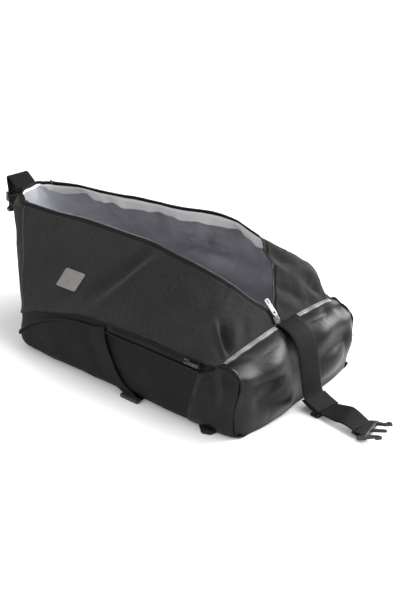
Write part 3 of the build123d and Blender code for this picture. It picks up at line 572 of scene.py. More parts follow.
def moulding(name, loops, low, high, bevel, place, finish):
    """A plate with softened edges between two heights: its outline, then its holes."""
    curve = bpy.data.curves.new(name, "CURVE")
    curve.dimensions = "2D"
    curve.fill_mode = "BOTH"
    curve.extrude = (high - low) / 2 - bevel
    curve.bevel_depth = bevel
    curve.bevel_resolution = 2
    curve.offset = -bevel
    for loop in loops:
        spline = curve.splines.new("POLY")
        spline.points.add(len(loop) - 1)
        for point, (x, y) in zip(spline.points, loop):
            point.co = (x, y, 0, 1)
        spline.use_cyclic_u = True
    holder = bpy.data.objects.new(name, curve)
    mesh = bpy.data.meshes.new_from_object(holder)
    bpy.data.objects.remove(holder)
    bpy.data.curves.remove(curve)
    tidy = bmesh.new()
    tidy.from_mesh(mesh)
    bmesh.ops.remove_doubles(tidy, verts=tidy.verts, dist=1e-4)
    points = [tuple(place @ (v.co + Vector((0, 0, (low + high) / 2)))) for v in tidy.verts]
    faces = [[v.index for v in face.verts] for face in tidy.faces]
    tidy.free()
    return make_piece(name, points, faces, finish, sharp=35)


def bar(middle, axis, half):
    """A buckle's bar, which the webbing goes round."""
    return tube("bar", np.array([middle - axis * half, middle + axis * half]), BAR_R, BUCKLE, 20, UP)


def place_at(origin, x_dir, z_dir):
    """The matrix that puts a flat design at a place, all in millimetres."""
    x = Vector(x_dir).normalized()
    z = Vector(z_dir).normalized()
    y = z.cross(x)
    turn = Matrix((x, y, z)).transposed().to_4x4()
    return Matrix.Translation(Vector(origin)) @ turn


STITCH_LENGTH, STITCH_R = 2.3, 0.28
STITCH_SHAPE = [(-0.5, 0.4), (-0.3, 1.0), (0.3, 1.0), (0.5, 0.4)]     # (share of length, share of radius)


def stitches(name, line, hint, finish=THREAD, pitch=3.2):
    """A row of thread stitches along a line, each a slim pointed bead."""
    way = lengths(line)
    count = max(int(way[-1] / pitch), 2)
    even = np.linspace(0.5, count - 0.5, count) * way[-1] / count
    centre = read_at(line, way, even)
    forward, side, up = line_frames(centre, hint)
    beads, faces = [], []
    sides = 6
    turn = np.linspace(0, 2 * math.pi, sides, endpoint=False)
    for i in range(count):
        start = len(beads) * sides
        for reach, swell in STITCH_SHAPE:
            round_thread = side[i] * np.cos(turn)[:, None] + up[i] * np.sin(turn)[:, None]
            beads.append(centre[i] + forward[i] * reach * STITCH_LENGTH + STITCH_R * swell * round_thread)
        faces += grid_faces(len(STITCH_SHAPE), sides, start, wrap=True).tolist()
        faces += [list(range(start, start + sides)), list(range(start + 3 * sides, start + 4 * sides))]
    return make_piece(name, np.vstack(beads), faces, finish)


def nurbs_line(points):
    """Points in metres read from the smooth spline that control points in metres give."""
    curve = bpy.data.curves.new("route", "CURVE")
    curve.dimensions = "3D"
    spline = curve.splines.new("NURBS")
    spline.points.add(len(points) - 1)
    for point, place in zip(spline.points, points):
        point.co = (*place, 1)
    spline.order_u = 3
    spline.use_endpoint_u = True
    curve.resolution_u = 16
    holder = bpy.data.objects.new("route", curve)
    mesh = bpy.data.meshes.new_from_object(holder)
    line = np.array([tuple(v.co) for v in mesh.vertices])
    bpy.data.objects.remove(holder)
    bpy.data.curves.remove(curve)
    bpy.data.meshes.remove(mesh)
    return line


add_camera()
add_studio()
add_floor()

# ---------------------------------------------------------------- base strap, the free cord
STRAP_YAW = math.radians(-8.2)
STRAP_DIR = np.array((math.cos(STRAP_YAW), math.sin(STRAP_YAW), 0))
STRAP_SIDE = np.array((-math.sin(STRAP_YAW), math.cos(STRAP_YAW), 0))
# Its root, its route as (distance out from the root, height) and its length are in metres.
STRAP_ROOT = np.array((0.197, 0.014, 0.0))
STRAP_ROUTE = [(0.004, 0.1162), (0.027, 0.117), (0.046, 0.101), (0.054, 0.075), (0.058, 0.047),
               (0.064, 0.015), (0.088, 0.007), (0.117, 0.012), (0.138, 0.015), (0.159, 0.0092)]
STRAP_WIDTH = 38.0
STRAP_THICKNESS = 2.0
THIN_WEBBING = 1.6
WRAP_R = 3.4            # of the webbing's turn round the buckle's bar
BAR = joint_place("male_buckle_hinge")
BAR_AXIS = -joint_axis("male_buckle_hinge")
BUCKLE_FLAT = np.array((BAR_AXIS[1], -BAR_AXIS[0], 0))
BUCKLE_TILT = math.radians(15)
BUCKLE_DIR = BUCKLE_FLAT * math.cos(BUCKLE_TILT) + np.array((0, 0, math.sin(BUCKLE_TILT)))
BUCKLE_UP = np.array((0, 0, math.cos(BUCKLE_TILT))) - BUCKLE_FLAT * math.sin(BUCKLE_TILT)
BAR_R = 2.2


def strap_point(distance, height):
    """A point over the strap's line on the floor, in metres."""
    return STRAP_ROOT + STRAP_DIR * distance + np.array((0, 0, height))


def strap_roll(share, across):
    """How far the webbing's edges lift off its line: the far edge rolls up short of the buckle."""
    roll = bump_at(share, 0.86, 0.10) * across * 3.2
    slack = bump_at(share, 0.10, 0.08) * (across ** 2) * -1.2
    return roll + slack


def make_base_strap():
    line = nurbs_line([strap_point(d, h) for d, h in STRAP_ROUTE])
    share = np.linspace(0, 1, len(line))[:, None]
    turn = ease(share, 0.62, 0.98)
    side = unit(STRAP_SIDE * (1 - turn) + BAR_AXIS * turn)
    strap = ribbon("base_strap_webbing", line / MM, side, STRAP_WIDTH, STRAP_THICKNESS, WEBBING, cup=0.25,
                   wave=strap_roll)
    return strap, line


def from_bar(out, up, across=0.0):
    """A point this far out from the buckle's bar, above it and along it."""
    return BAR + BUCKLE_FLAT * out + BAR_AXIS * across + np.array((0, 0, up))


def make_strap_end():
    """The webbing's turn round the buckle's bar and the row of thread that closes it."""
    around = np.linspace(math.radians(100), math.radians(-150), 18)
    wrap = [from_bar(math.cos(a) * WRAP_R, math.sin(a) * WRAP_R) for a in around]
    loop_line = along([from_bar(-7, 4.3)] + wrap[::3] + [wrap[-1], from_bar(-13, 2.2)], 60)
    loop = ribbon("base_strap_wrap", loop_line, BAR_AXIS, STRAP_WIDTH - 1, THIN_WEBBING, WEBBING)
    row = along([from_bar(-9.5, 5.2, across) for across in (-17, 17)], 20)
    return [attach(loop), attach(stitches("base_strap_stitches", row, UP))]


def sleeve(name, start, end, half_width, half_height, wall, finish):
    """A flat loop of webbing round the strap, from start to end."""
    forward = unit(end - start)
    up = np.cross(forward, STRAP_SIDE)
    low_corners = [(-half_width, -half_height, 2.4), (half_width, -half_height, 2.4)]
    outline = np.array(rounded(mirrored(low_corners), 6))
    half = np.array((half_width, half_height))
    inside = outline * (half - wall) / half
    reach = np.linspace(0, 1, 12)
    sections = [(f, outline * (1 + 0.35 * (2 * f - 1) ** 4 / half)) for f in reach]
    sections += [(f, inside) for f in reach[::-1]]
    rings = np.array([start + (end - start) * f + shape[:, :1] * STRAP_SIDE + shape[:, 1:] * up
                      for f, shape in sections])
    count, sides = rings.shape[:2]
    faces = grid_faces(count, sides, wrap=True).tolist()
    last = (count - 1) * sides
    faces += [[k, (k + 1) % sides, last + (k + 1) % sides, last + k] for k in range(sides)]
    around = lengths(np.vstack([rings[0], rings[0][:1]]))[:-1]
    way = np.abs(np.linspace(-1, 1, count)) * np.linalg.norm(end - start)
    return make_piece(name, rings.reshape(-1, 3), faces, finish, cloth_uv(around, way[:, None]))


def make_strap_fittings():
    """The keeper loop, the folded tail with its sewn end, and the slider that lies under the strap."""
    keeper = sleeve("strap_keeper_loop", strap_point(0.0675, 0.0160) / MM, strap_point(0.0945, 0.0082) / MM,
                    21.2, 2.9, 1.1, WEBBING)
    tail_route = ((0.060, 0.0135), (0.070, 0.0092), (0.080, 0.0062), (0.088, 0.0042))
    tail_line = along([strap_point(*place) / MM for place in tail_route], 24)
    tail = ribbon("strap_tail_webbing", tail_line, STRAP_SIDE, STRAP_WIDTH - 1, THIN_WEBBING, WEBBING)
    glide_place = place_at(strap_point(0.087, 0) / MM, STRAP_DIR, UP)
    slots = [box_outline(x - 1.8, x + 1.8, -19.2, 19.2, 1.0) for x in (-3.4, 3.4)]
    glide = moulding("tri_glide_body", [box_outline(-7.5, 7.5, -22.5, 22.5, 3.0)] + slots, 0.1, 2.7, 0.5,
                     glide_place, BUCKLE)
    return [attach(keeper, "strap_keeper"), attach(tail, "strap_tail"), attach(glide, "tri_glide")]


def make_male_buckle():
    """Side-release prongs: a cross frame with its bar, two sprung arms and a middle guide."""
    place = place_at(BAR, BUCKLE_DIR, BUCKLE_UP)
    cross_frame = rounded(mirrored([(5.0, -20.4, 1.6), (-2.8, -20.4, 1.2), (-2.8, -24.5, 2.4),
                                    (13.0, -24.5, 3.0), (11.0, -14, 2)]))
    parts = [moulding("frame", [cross_frame], -3.0, 3.0, 0.9, place, BUCKLE)]
    guide = rounded([(9, -2.7, 0), (32.5, -2.1, 1.5), (35, 0, 1.5), (32.5, 2.1, 1.5), (9, 2.7, 0)])
    parts.append(moulding("guide", [guide], -2.0, 2.0, 0.7, place, BUCKLE))
    for flank in (-1, 1):
        arm = rounded([(9, flank * 22.8, 0), (17, flank * 21.6, 4), (23.6, flank * 19.6, 1.2),
                       (25.2, flank * 23.4, 1.4), (29.2, flank * 24.2, 2.2), (34.6, flank * 21.0, 2.4),
                       (35.0, flank * 17.6, 1.8), (25, flank * 15.4, 5), (16, flank * 16.8, 4),
                       (9, flank * 17.4, 0)])
        parts.append(moulding("arm", [arm], -2.3, 2.3, 0.8, place, BUCKLE))
        rib = rounded([(26.5, flank * 19.0, 0.5), (33.2, flank * 18.4, 0.5), (33.2, flank * 20.2, 0.5),
                       (28.5, flank * 22.4, 0.5), (26.5, flank * 21.8, 0.5)])
        parts.append(moulding("head", [rib], -2.9, 2.9, 0.5, place, BUCKLE))
    parts.append(bar(BAR, BAR_AXIS, 22))
    return attach(join("male_buckle_moulding", parts), "male_buckle", "male_buckle")


base_strap, strap_line = make_base_strap()
strap_extras = make_strap_end()
attach(base_strap, "base_strap")
strap_extras += make_strap_fittings()
strap_extras.append(make_male_buckle())

# ---------------------------------------------------------------- the bag's walls as one horseshoe
# Upright sections of one half, from the open end, or bow, to the base, as the bag lies: x at the floor,
# lean dx/dz, then (y, z) of bottom edge, lower corner, belly, pocket seam, fabric hem, mid wall, upper wall
# and zip edge.
BOW_END = (-202, -0.56, [(104, 3.5), (109, 7), (110.5, 10.5), (110.5, 15), (91, 48), (70, 105), (52, 150),
                         (32, 196)])
BOW_CORNER = (-193, -0.53, [(127, 3), (132.5, 6.5), (134.5, 10.5), (134.5, 15), (114, 48), (90, 105),
                            (70, 152), (50, 197)])
FULL_FOOT = [(143, 3), (149, 12), (151, 45)]
STATIONS = [
    BOW_CORNER,
    (-178, -0.40, [(139, 3), (145, 9), (147, 18), (145, 29), (133, 56), (116, 106), (86, 155), (52, 198)]),
    (-150, -0.28, [(142, 3), (148, 12), (149, 30), (145, 51), (138.5, 71), (120, 112), (92, 157), (53, 200)]),
    (-100, -0.14, [(143, 3), (149, 12), (150, 42), (142.5, 78), (139, 86), (120, 116), (94, 157), (56, 208)]),
    (-40, 0.0, FULL_FOOT + [(142, 91), (141, 106), (124, 130), (100, 165), (62, 213)]),
    (20, 0.0, FULL_FOOT + [(142, 91), (141, 107), (127, 132), (104, 170), (71, 219)]),
    (70, 0.0, FULL_FOOT + [(142, 91), (141, 108), (128, 133), (106, 168), (73, 214)]),
    (115, 0.0, FULL_FOOT + [(142, 90.5), (141, 108), (128, 131), (101, 161), (64, 202)]),
    (150, 0.0, [(143, 3), (149, 12), (150, 45), (142, 90.5), (141, 107), (125, 129), (92, 154), (44, 179)]),
    (172, 0.0, [(143, 3), (148, 12), (149, 45), (142, 90.5), (139, 105), (119, 123), (77, 138), (22, 152)]),
    (186, 0.0, [(143, 3), (147, 12), (148, 45), (142, 91), (137, 105), (118, 113), (70, 124), (2.9, 132)]),
    (197, 0.0, [(142, 3), (147, 12), (148, 45), (142, 93), (134, 103), (118, 108), (66, 112), (2.9, 115)]),
]
# Rows of a section with the facing line and the cloth's edge put in. Row 2 is the belly.
EDGE, LOW = range(2)
SEAM, HEM, MID, UPPER, FACE_LINE, CLOTH_EDGE, ZIP_EDGE = range(3, 10)
TAPE_WIDTH = 7.0
FACING_DEPTH = 22.0
CLOTH = 2.2
BOW_CROWN = 3.0         # how far the middle of the open end stands out from its sides
# The far shoulder bulges: how far its mid wall and upper wall stand out, by section.
FAR_SWELL = {70: (4, 6), 115: (8, 12), 150: (14, 20), 172: (21, 29), 186: (16, 16)}


def toward(start, end, distance):
    """The point at a distance from the start on the way to the end."""
    return start + (end - start) * distance / np.linalg.norm(end - start)


def swollen(rows, row, distance):
    """A row's point moved square to the wall, out of the bag."""
    (y0, z0), (y1, z1) = rows[row - 1], rows[row + 1]
    span = math.hypot(y1 - y0, z1 - z0)
    return (rows[row][0] + (z1 - z0) / span * distance, rows[row][1] - (y1 - y0) / span * distance)


def column(station, side):
    """One section's row points in space."""
    x_floor, lean, rows = station
    if side > 0 and x_floor in FAR_SWELL:
        mid, upper = FAR_SWELL[x_floor]
        rows = rows[:MID] + [swollen(rows, MID, mid), swollen(rows, UPPER, upper)] + rows[UPPER + 1:]
    points = [np.array((x_floor + lean * z, side * y, z), float) for y, z in rows]
    upper, rim = points[-2], points[-1]
    return points[:-1] + [toward(rim, upper, FACING_DEPTH), toward(rim, upper, TAPE_WIDTH), rim]


NEAR_COLUMNS = [column(station, -1) for station in STATIONS[::-1]]
FAR_COLUMNS = [column(station, 1) for station in STATIONS]
BOW_NEAR, BOW_FAR = column(BOW_END, -1), column(BOW_END, 1)
BOW_MIDDLE = [(a + b) / 2 - np.array((BOW_CROWN, 0, 0)) for a, b in zip(BOW_NEAR, BOW_FAR)]
COLUMNS = np.array(NEAR_COLUMNS + [BOW_NEAR, BOW_MIDDLE, BOW_FAR] + FAR_COLUMNS)
COLUMN_AT = np.r_[0, np.cumsum(np.linalg.norm(np.diff(COLUMNS, axis=0), axis=2).mean(1))]
LAST = len(COLUMNS) - 1
CORNER = len(STATIONS) - 1      # the near bow corner's column; the far one is LAST - CORNER


def near(x):
    """The near side's column number for a place along the floor."""
    floor = np.array([station[0] for station in STATIONS[::-1]])
    return np.interp(-np.asarray(x, float), -floor, range(len(floor)))


def ends_of(word, front, back):
    """The first and last column of a stretch of the near or the far side, from the near side's two."""
    return (front, back) if word == "near" else (LAST - back, LAST - front)


def wall(first, last, count, low, high, levels):
    """Outside points between two columns and two rows. Columns may be one number or one per level."""
    strips = []
    for points in COLUMNS:
        t = lengths(points)
        start, end = np.interp([low, high], range(len(t)), t)
        strips.append(cubic(t, points, start + (end - start) * levels))
    strips = np.array(strips)
    grid = np.zeros((count, len(levels), 3))
    firsts = np.broadcast_to(np.interp(first, range(LAST + 1), COLUMN_AT), len(levels))
    lasts = np.broadcast_to(np.interp(last, range(LAST + 1), COLUMN_AT), len(levels))
    for k in range(len(levels)):
        grid[:, k] = cubic(COLUMN_AT, strips[:, k], np.linspace(firsts[k], lasts[k], count))
    return grid


def pinch(grid):
    """The rolled end's corners: the near one folded in along a slant, the far one rounded off."""
    grid = grid.copy()
    x, y, z = grid[..., 0].copy(), grid[..., 1].copy(), grid[..., 2]
    grid[..., 0] += 31 * ease(-y, 4, 50) * ease(-x, 250, 296) * ease(z, 184, 197)
    grid[..., 1] -= 16 * bump_at(x, -294, 32) * ease(y, 20, 45) * ease(z, 150, 197)
    return grid


def fold_height(grid, folds):
    """How far soft folds lift the cloth. Each fold is its route, its width and its height."""
    lift = np.zeros(grid.shape[:2])
    for route, width, height in folds:
        line = along(route, 26)
        gap = np.linalg.norm(grid[:, :, None] - line[None, None], axis=3)
        nearest = gap.argmin(2)
        share = nearest / (len(line) - 1)
        fade = np.sin(math.pi * np.clip(0.06 + share * 0.88, 0, 1)) ** 0.8
        lift += height * fade * np.exp(-(gap.min(2) / width) ** 2)
    return lift


def cloudy(grid, size, octaves=3, seed=0.0):
    """Gentle unevenness from -1 to 1 about, over a size in millimetres."""
    flat = grid.reshape(-1, 3) / size + seed
    values = [noise.fractal(Vector(p), 0.9, 2.1, octaves) for p in flat]
    return np.array(values).reshape(grid.shape[:2])


def raised(grid, lift):
    return grid + outward(grid) * lift[..., None]


NEAR_FOLDS = [
    # (route, width, height): a ridge stands out, a valley has a height below zero
    ([(50, -78, 208), (34, -88, 196), (10, -102, 171), (-16, -118, 141), (-34, -128, 122)], 10, 6.4),
    ([(34, -74, 211), (14, -88, 192), (-14, -104, 163), (-44, -116, 139), (-70, -128, 112)], 14, -8.5),
    ([(70, -82, 196), (92, -92, 178), (118, -92, 168), (136, -84, 164)], 17, 5.2),
    ([(58, -92, 186), (86, -104, 160), (112, -108, 150)], 15, -5.4),
    ([(146, -50, 181), (148, -60, 172), (146, -70, 164)], 4.5, -2.4),
    ([(152, -54, 175), (155, -66, 165), (153, -78, 156)], 6, 2.0),
    ([(139, -78, 168), (141, -96, 152), (140, -116, 137), (136, -130, 122)], 9, -5.6),
    ([(129, -84, 169), (127, -104, 150), (120, -122, 130)], 9, 3.6),
    ([(157, -94, 143), (166, -101, 134), (176, -107, 124), (187, -113, 114), (196, -119, 107)], 4.0, 8.0),
    ([(166, -90, 141), (175, -96, 132), (184, -102, 122), (192, -108, 113)], 8.0, -11.0),
    ([(176, -70, 140), (184, -84, 126), (190, -94, 116)], 8, 4.2),
    ([(180, -50, 142), (188, -62, 127), (194, -72, 116)], 7, -2.6),
    ([(160, -118, 118), (178, -123, 110), (192, -127, 106)], 7, 3.0),
    ([(100, -128, 130), (128, -126, 126), (150, -124, 122)], 9, -2.2),
    ([(-232, -92, 118), (-214, -108, 92), (-202, -118, 76)], 9, -2.4),
    ([(-262, -68, 168), (-250, -84, 140), (-236, -96, 116)], 10, 2.0),
    ([(-210, -70, 170), (-180, -84, 158), (-140, -84, 168)], 26, 2.4),
]
FAR_FOLDS = [
    ([(112, 66, 200), (134, 84, 176), (150, 102, 150), (158, 118, 128)], 11, 8.0),
    ([(132, 56, 190), (152, 76, 164), (168, 96, 140), (176, 112, 122)], 9, -8.5),
    ([(152, 44, 176), (168, 66, 152), (182, 86, 130), (190, 102, 114)], 8, 6.5),
    ([(170, 28, 158), (180, 48, 142), (190, 66, 124)], 7, -5.5),
    ([(180, 18, 144), (188, 36, 130), (194, 52, 118)], 7, 2.8),
    ([(172, 84, 162), (178, 104, 150), (183, 120, 134)], 8, 5.5),
    ([(188, 80, 150), (192, 100, 132), (194, 116, 118)], 7, -7.0),
    ([(120, 52, 206), (136, 66, 190), (146, 78, 174)], 6, -2.6),
    ([(142, 40, 188), (154, 52, 174), (162, 66, 162)], 5, 2.4),
    ([(166, 112, 128), (180, 120, 116), (194, 124, 106)], 5, 6.5),
    ([(158, 120, 126), (174, 127, 112), (190, 131, 104)], 5, -7.0),
    ([(88, 78, 204), (104, 96, 178), (110, 116, 150)], 12, -4.0),
    ([(60, 80, 208), (50, 100, 178), (36, 120, 148)], 13, 3.4),
    ([(10, 76, 208), (-10, 96, 176), (-30, 116, 140)], 15, -3.8),
    ([(-80, 66, 204), (-90, 92, 166), (-110, 116, 124)], 14, 3.4),
    ([(-150, 62, 196), (-170, 84, 160), (-180, 108, 118)], 13, -3.2),
    ([(-250, 60, 176), (-232, 84, 138), (-214, 104, 98)], 11, 2.6),
]
BOW_FOLDS = [
    ([(-268, -76, 143), (-278, -60, 150), (-290, -44, 158)], 9, -2.6),
    ([(-300, -24, 176), (-284, -30, 132), (-262, -38, 86)], 12, 3.0),
    ([(-306, 6, 176), (-284, 2, 126), (-258, -4, 80)], 13, -3.4),
    ([(-300, 32, 174), (-280, 38, 128), (-254, 44, 84)], 11, 2.6),
]
ALL_FOLDS = NEAR_FOLDS + FAR_FOLDS + BOW_FOLDS


def shaped(first, last, count, low, high, levels, folds=True, depth=0.0):
    """A stretch of the wall with the pinched rim and, on the fabric, its folds, moved in by a depth."""
    grid = pinch(wall(first, last, count, low, high, levels))
    lift = cloudy(grid, 62, 3) * 1.1 + cloudy(grid, 19, 2, 7.3) * 0.35
    if folds:
        lift += fold_height(grid, ALL_FOLDS)
        lift += cloudy(grid, 27, 3, 2.6) * 2.2 * ease(grid[..., 0], 90, 130) * ease(grid[..., 1], 40, 70)
    return raised(grid, lift - depth)


def seam_start(levels):
    """The bow seam's column, a little nearer the base than the rim's corner."""
    return CORNER - 0.75 - 0.55 * ease(1 - levels, 0, 0.55)


FOOT_OVERLAP = 1 / 30   # of a column, by which the open end's foot reaches past the corners
FLAP = 2.4              # the fabric's flap stands this far out from the pocket band
CORNER_SEAM_X = 150     # the coated corner's front seam, at the floor
CORNER_SLANT = 0.21     # and how far it leans back as it rises


def flared(grid, levels, reach, out):
    """Lets the lower edge of the fabric stand out over the pocket zip."""
    return raised(grid, out * np.broadcast_to(np.clip(1 - levels / reach, 0, 1) ** 2, grid.shape[:2]))


def make_fabric():
    levels = band_levels(84)
    corner = seam_start(levels)
    seams = []
    for name, first, last, count, node in (
            ("near_side_fabric", 0.0, corner, 250, "near_side_panel"),
            ("far_side_fabric", LAST - corner, float(LAST), 250, "far_side_panel"),
            ("bow_fabric", corner, LAST - corner, 120, "top_end_panel")):
        grid = flared(shaped(first, last, count, HEM - 0.12, CLOTH_EDGE, levels), levels, 0.1, FLAP)
        attach(shell(name, grid, CLOTH, MELANGE), node)
        seams.append(grid)
    for word, line in (("near", seams[0][-1]), ("far", seams[1][0])):
        # The seam roll wears the lighter melange, a painted highlight along the seam.
        attach(tube(f"{word}_bow_seam", line[2:-2], 1.3, SEAM_HIGHLIGHT_CLOTH, 8, X_WAY, uv_width=6))


def on_flank(flank, folds):
    """Folds given for the far side, on that side or mirrored to the near one."""
    return [([(x, flank * y, z) for x, y, z in route], width, height) for route, width, height in folds]


POCKET_FOLDS = [
    ([(-40, 150, 70), (0, 152, 40), (50, 150, 14)], 16, -2.0),
    ([(60, 146, 84), (90, 151, 50), (110, 149, 14)], 18, 1.6),
    ([(-130, 147, 60), (-110, 149, 30), (-90, 148, 8)], 18, 1.5),
    ([(10, 146, 84), (30, 150, 62)], 10, 1.4),
]


def make_lower_walls():
    levels = band_levels(40)
    band_rows = band_levels(16)
    under_corner = near(CORNER_SEAM_X + 4 + CORNER_SLANT * 90 * levels)
    for word, flank in SIDES:
        grid = shaped(*ends_of(word, under_corner, CORNER), 200, EDGE, SEAM, levels, folds=False)
        slack = fold_height(grid, on_flank(flank, POCKET_FOLDS))
        attach(shell(f"{word}_lower_cloth", raised(grid, slack), CLOTH, NYLON), f"{word}_lower_panel")
        band = shaped(*ends_of(word, near(190), CORNER), 220, SEAM, HEM, band_rows, folds=False)
        tuck = np.broadcast_to(-1.6 * np.sin(math.pi * band_rows), band.shape[:2])
        attach(shell(f"{word}_pocket_band", raised(band, tuck), 2.0, ZIP_TAPE), f"{word}_zip_band")
    start = CORNER - FOOT_OVERLAP
    foot = shaped(start, LAST - start, 90, EDGE, HEM, band_levels(30), folds=False)
    attach(shell("bow_foot_cloth", foot, CLOTH, NYLON))


make_fabric()
make_lower_walls()


# ---------------------------------------------------------------- lining and rim facing
LINING_OUT = 3.0
LINING = 0.9
LINING_FLOOR = 7.8
FACING = 0.9


def make_lining():
    levels = band_levels(60)
    grid = pinch(wall(0.35, LAST - 0.35, 420, LOW + 0.2, FACE_LINE + 0.8, levels))
    creases = cloudy(grid, 46, 4, 3.1) * 2.6 + cloudy(grid, 15, 3, 9.7) * 0.9
    drawn = np.broadcast_to(np.sin(math.pi * levels) ** 0.5, grid.shape[:2])
    folds = fold_height(grid, ALL_FOLDS) + fold_height(grid, LINING_FOLDS)
    behind_facing = 0.65 * ease(levels, 0.9, 0.97)
    clear_of_slack = 1.7 * ease(1 - levels, 0.45, 0.75)
    depth = LINING_OUT + (2.2 + creases) * drawn - behind_facing + clear_of_slack
    attach(shell("lining_wall", raised(grid, folds - depth), LINING, LINING_CLOTH), "lining")


def make_lining_floor():
    along_floor = np.linspace(-199, 226, 180)
    share = np.linspace(-1, 1, 90)
    half = np.interp(along_floor, [-199, -188, -174, -120, 150, 200, 226],
                     [104, 120, 137, 143, 144, 140, 116])
    floor = np.zeros((len(along_floor), len(share), 3))
    floor[..., 0] = along_floor[:, None]
    floor[..., 1] = -half[:, None] * share[None]
    floor[..., 2] = LINING_FLOOR + 1.5 + 14 * np.abs(share[None]) ** 14
    lift = np.maximum(cloudy(floor, 70, 4, 5.5) * 3.0 + cloudy(floor, 22, 3, 2.2) * 0.9 + 1.2, 0)
    floor[..., 2] += lift * (1 - np.abs(share[None]) ** 6)
    attach(shell("lining_floor", floor, LINING, LINING_CLOTH))


LINING_FOLDS = [
    ([(-296, -24, 182), (-276, -30, 150), (-252, -40, 110)], 7, -5.0),
    ([(-300, 10, 184), (-276, 8, 140), (-250, 4, 90)], 6, 4.0),
    ([(-290, 44, 186), (-262, 56, 140), (-232, 70, 90)], 8, -5.0),
    ([(-250, 60, 184), (-226, 80, 146), (-200, 98, 104)], 7, 4.2),
    ([(-206, 62, 186), (-180, 86, 150), (-160, 104, 116)], 8, -4.4),
    ([(-120, 68, 190), (-100, 96, 150), (-96, 118, 112)], 8, 4.0),
    ([(-30, 76, 196), (-20, 104, 156), (-24, 124, 120)], 9, -4.0),
    ([(60, 84, 196), (76, 104, 160), (70, 124, 124)], 8, 3.6),
    ([(164, -88, 144), (174, -95, 134), (184, -102, 123), (193, -109, 112)], 13, -5.0),
]


def make_facing():
    levels = band_levels(12)
    grid = pinch(wall(0.9, LAST - 0.9, 520, FACE_LINE - 0.05, CLOTH_EDGE, levels))
    way = np.broadcast_to(lengths(grid[:, 6])[:, None], grid.shape[:2])
    scallop = np.sin(way / 6.1 + 1.6 * np.sin(way / 23)) * (1 - levels[None]) ** 1.5
    tilt = 6.0 - 5.0 * ease(-grid[..., 0], 200, 270)
    wander = 1.6 * np.sin(way / 13 + 1.1 * np.sin(way / 37)) * (1 - levels[None])
    in_front = 1.0 * ease(1 - levels, 0, 0.2)[None]
    folds = fold_height(grid, ALL_FOLDS + LINING_FOLDS)
    grid = raised(grid, folds - 2.3 - in_front - tilt * (1 - levels[None]) - 0.9 * scallop)
    # The near corner of the open end is folded in: the band is narrow there and tucked behind the rim.
    kept = 1 - 0.66 * (ease(-grid[..., 0], 255, 275) * ease(-grid[..., 1], -45, -20))[..., None]
    grid = grid[:, -1:] + (grid - grid[:, -1:]) * kept
    grid[..., 2] += wander
    tucked = bump_at(grid[..., 1], -33, 9) * ease(-grid[..., 0], 262, 282) * ease(grid[..., 2], 176, 196)
    grid[..., 0] += 17 * tucked
    attach(shell("rim_facing_band", grid, FACING, FACING_CLOTH), "rim_facing")
    lower = raised(grid, np.full(grid.shape[:2], -FACING - 0.15))[3:-3, 2]
    attach(stitches("rim_facing_stitches", lower, UP, PALE_THREAD, pitch=3.4))


# ---------------------------------------------------------------- main zip
TAPE = 0.9
COIL_R, COIL_WIRE = 1.25, 0.34
POCKET_COIL_R, POCKET_COIL_WIRE = 0.95, 0.32
COIL_PITCH = 1.5
POINTS_PER_TURN = 7


def zip_half(first, last, count):
    levels = band_levels(8, (0.0, 0.05, 0.15))
    grid = pinch(wall(first, last, count, CLOTH_EDGE - 0.22, ZIP_EDGE - 0.12, levels))
    way = np.broadcast_to(lengths(grid[:, 4])[:, None], grid.shape[:2])
    ripple = 0.5 * np.sin(way / 17) * np.sin(way / 41 + 1)
    return raised(grid, fold_height(grid, ALL_FOLDS) - 0.7 + ripple * levels[None])


def coil(name, line, radius, wire):
    """A spiral of nylon monofilament along a line, flattened as zip coils are."""
    way = lengths(line)
    turns = int(way[-1] / COIL_PITCH)
    even = np.linspace(0, way[-1], turns * POINTS_PER_TURN)
    centre = read_at(line, way, even)
    _, side, up = line_frames(centre, UP)
    angle = np.linspace(0, 2 * math.pi * turns, len(centre))[:, None]
    spiral = centre + side * np.cos(angle) * radius + up * np.sin(angle) * radius * 0.75
    return tube(name, spiral, wire, ZIP_COIL, 4, UP)


def make_main_zip():
    for word, _ in SIDES:
        grid = zip_half(*ends_of(word, 0.05, CORNER - 0.02), 300)
        attach(shell(f"{word}_zip_tape_cloth", grid, TAPE, ZIP_TAPE), f"{word}_zip_tape")
        edge = grid[:, -1] + outward(grid)[:, -1] * -0.4
        core = tube(f"{word}_zip_cord", edge[1:-1], 0.7, ZIP_TAPE, 8, UP, uv_width=4)
        spiral = coil(f"{word}_zip_coil_spiral", edge[1:-1], COIL_R, COIL_WIRE)
        attach(join(f"{word}_zip_coil_spiral", [spiral, core]), f"{word}_zip_coil")
        sewn = raised(grid, np.full(grid.shape[:2], 0.05))[4:-4, 3]
        attach(stitches(f"{word}_zip_stitches", sewn, UP, DARK_THREAD))


def make_bow_binding():
    """The tape goes on across the rolled end without its coil, as a binding."""
    grid = zip_half(CORNER + 0.02, LAST - CORNER - 0.02, 150)
    attach(shell("bow_rim_binding", grid, TAPE, ZIP_TAPE))


ZIP_UP = joint_axis("main_slider_slide")
ZIP_OUT = np.array((ZIP_UP[2], 0, -ZIP_UP[0]))
ZIP_FOOT = (197.0, 0, 115.0)
PULLER_PIVOT = joint_place("main_puller_hinge")
PULLER_LEAN = math.radians(11)
PULLER_LENGTH, PULLER_HALF_WIDTH, PULLER_THICKNESS = 34.5, 4.8, 1.3
PIVOT_HEIGHT = 5.1


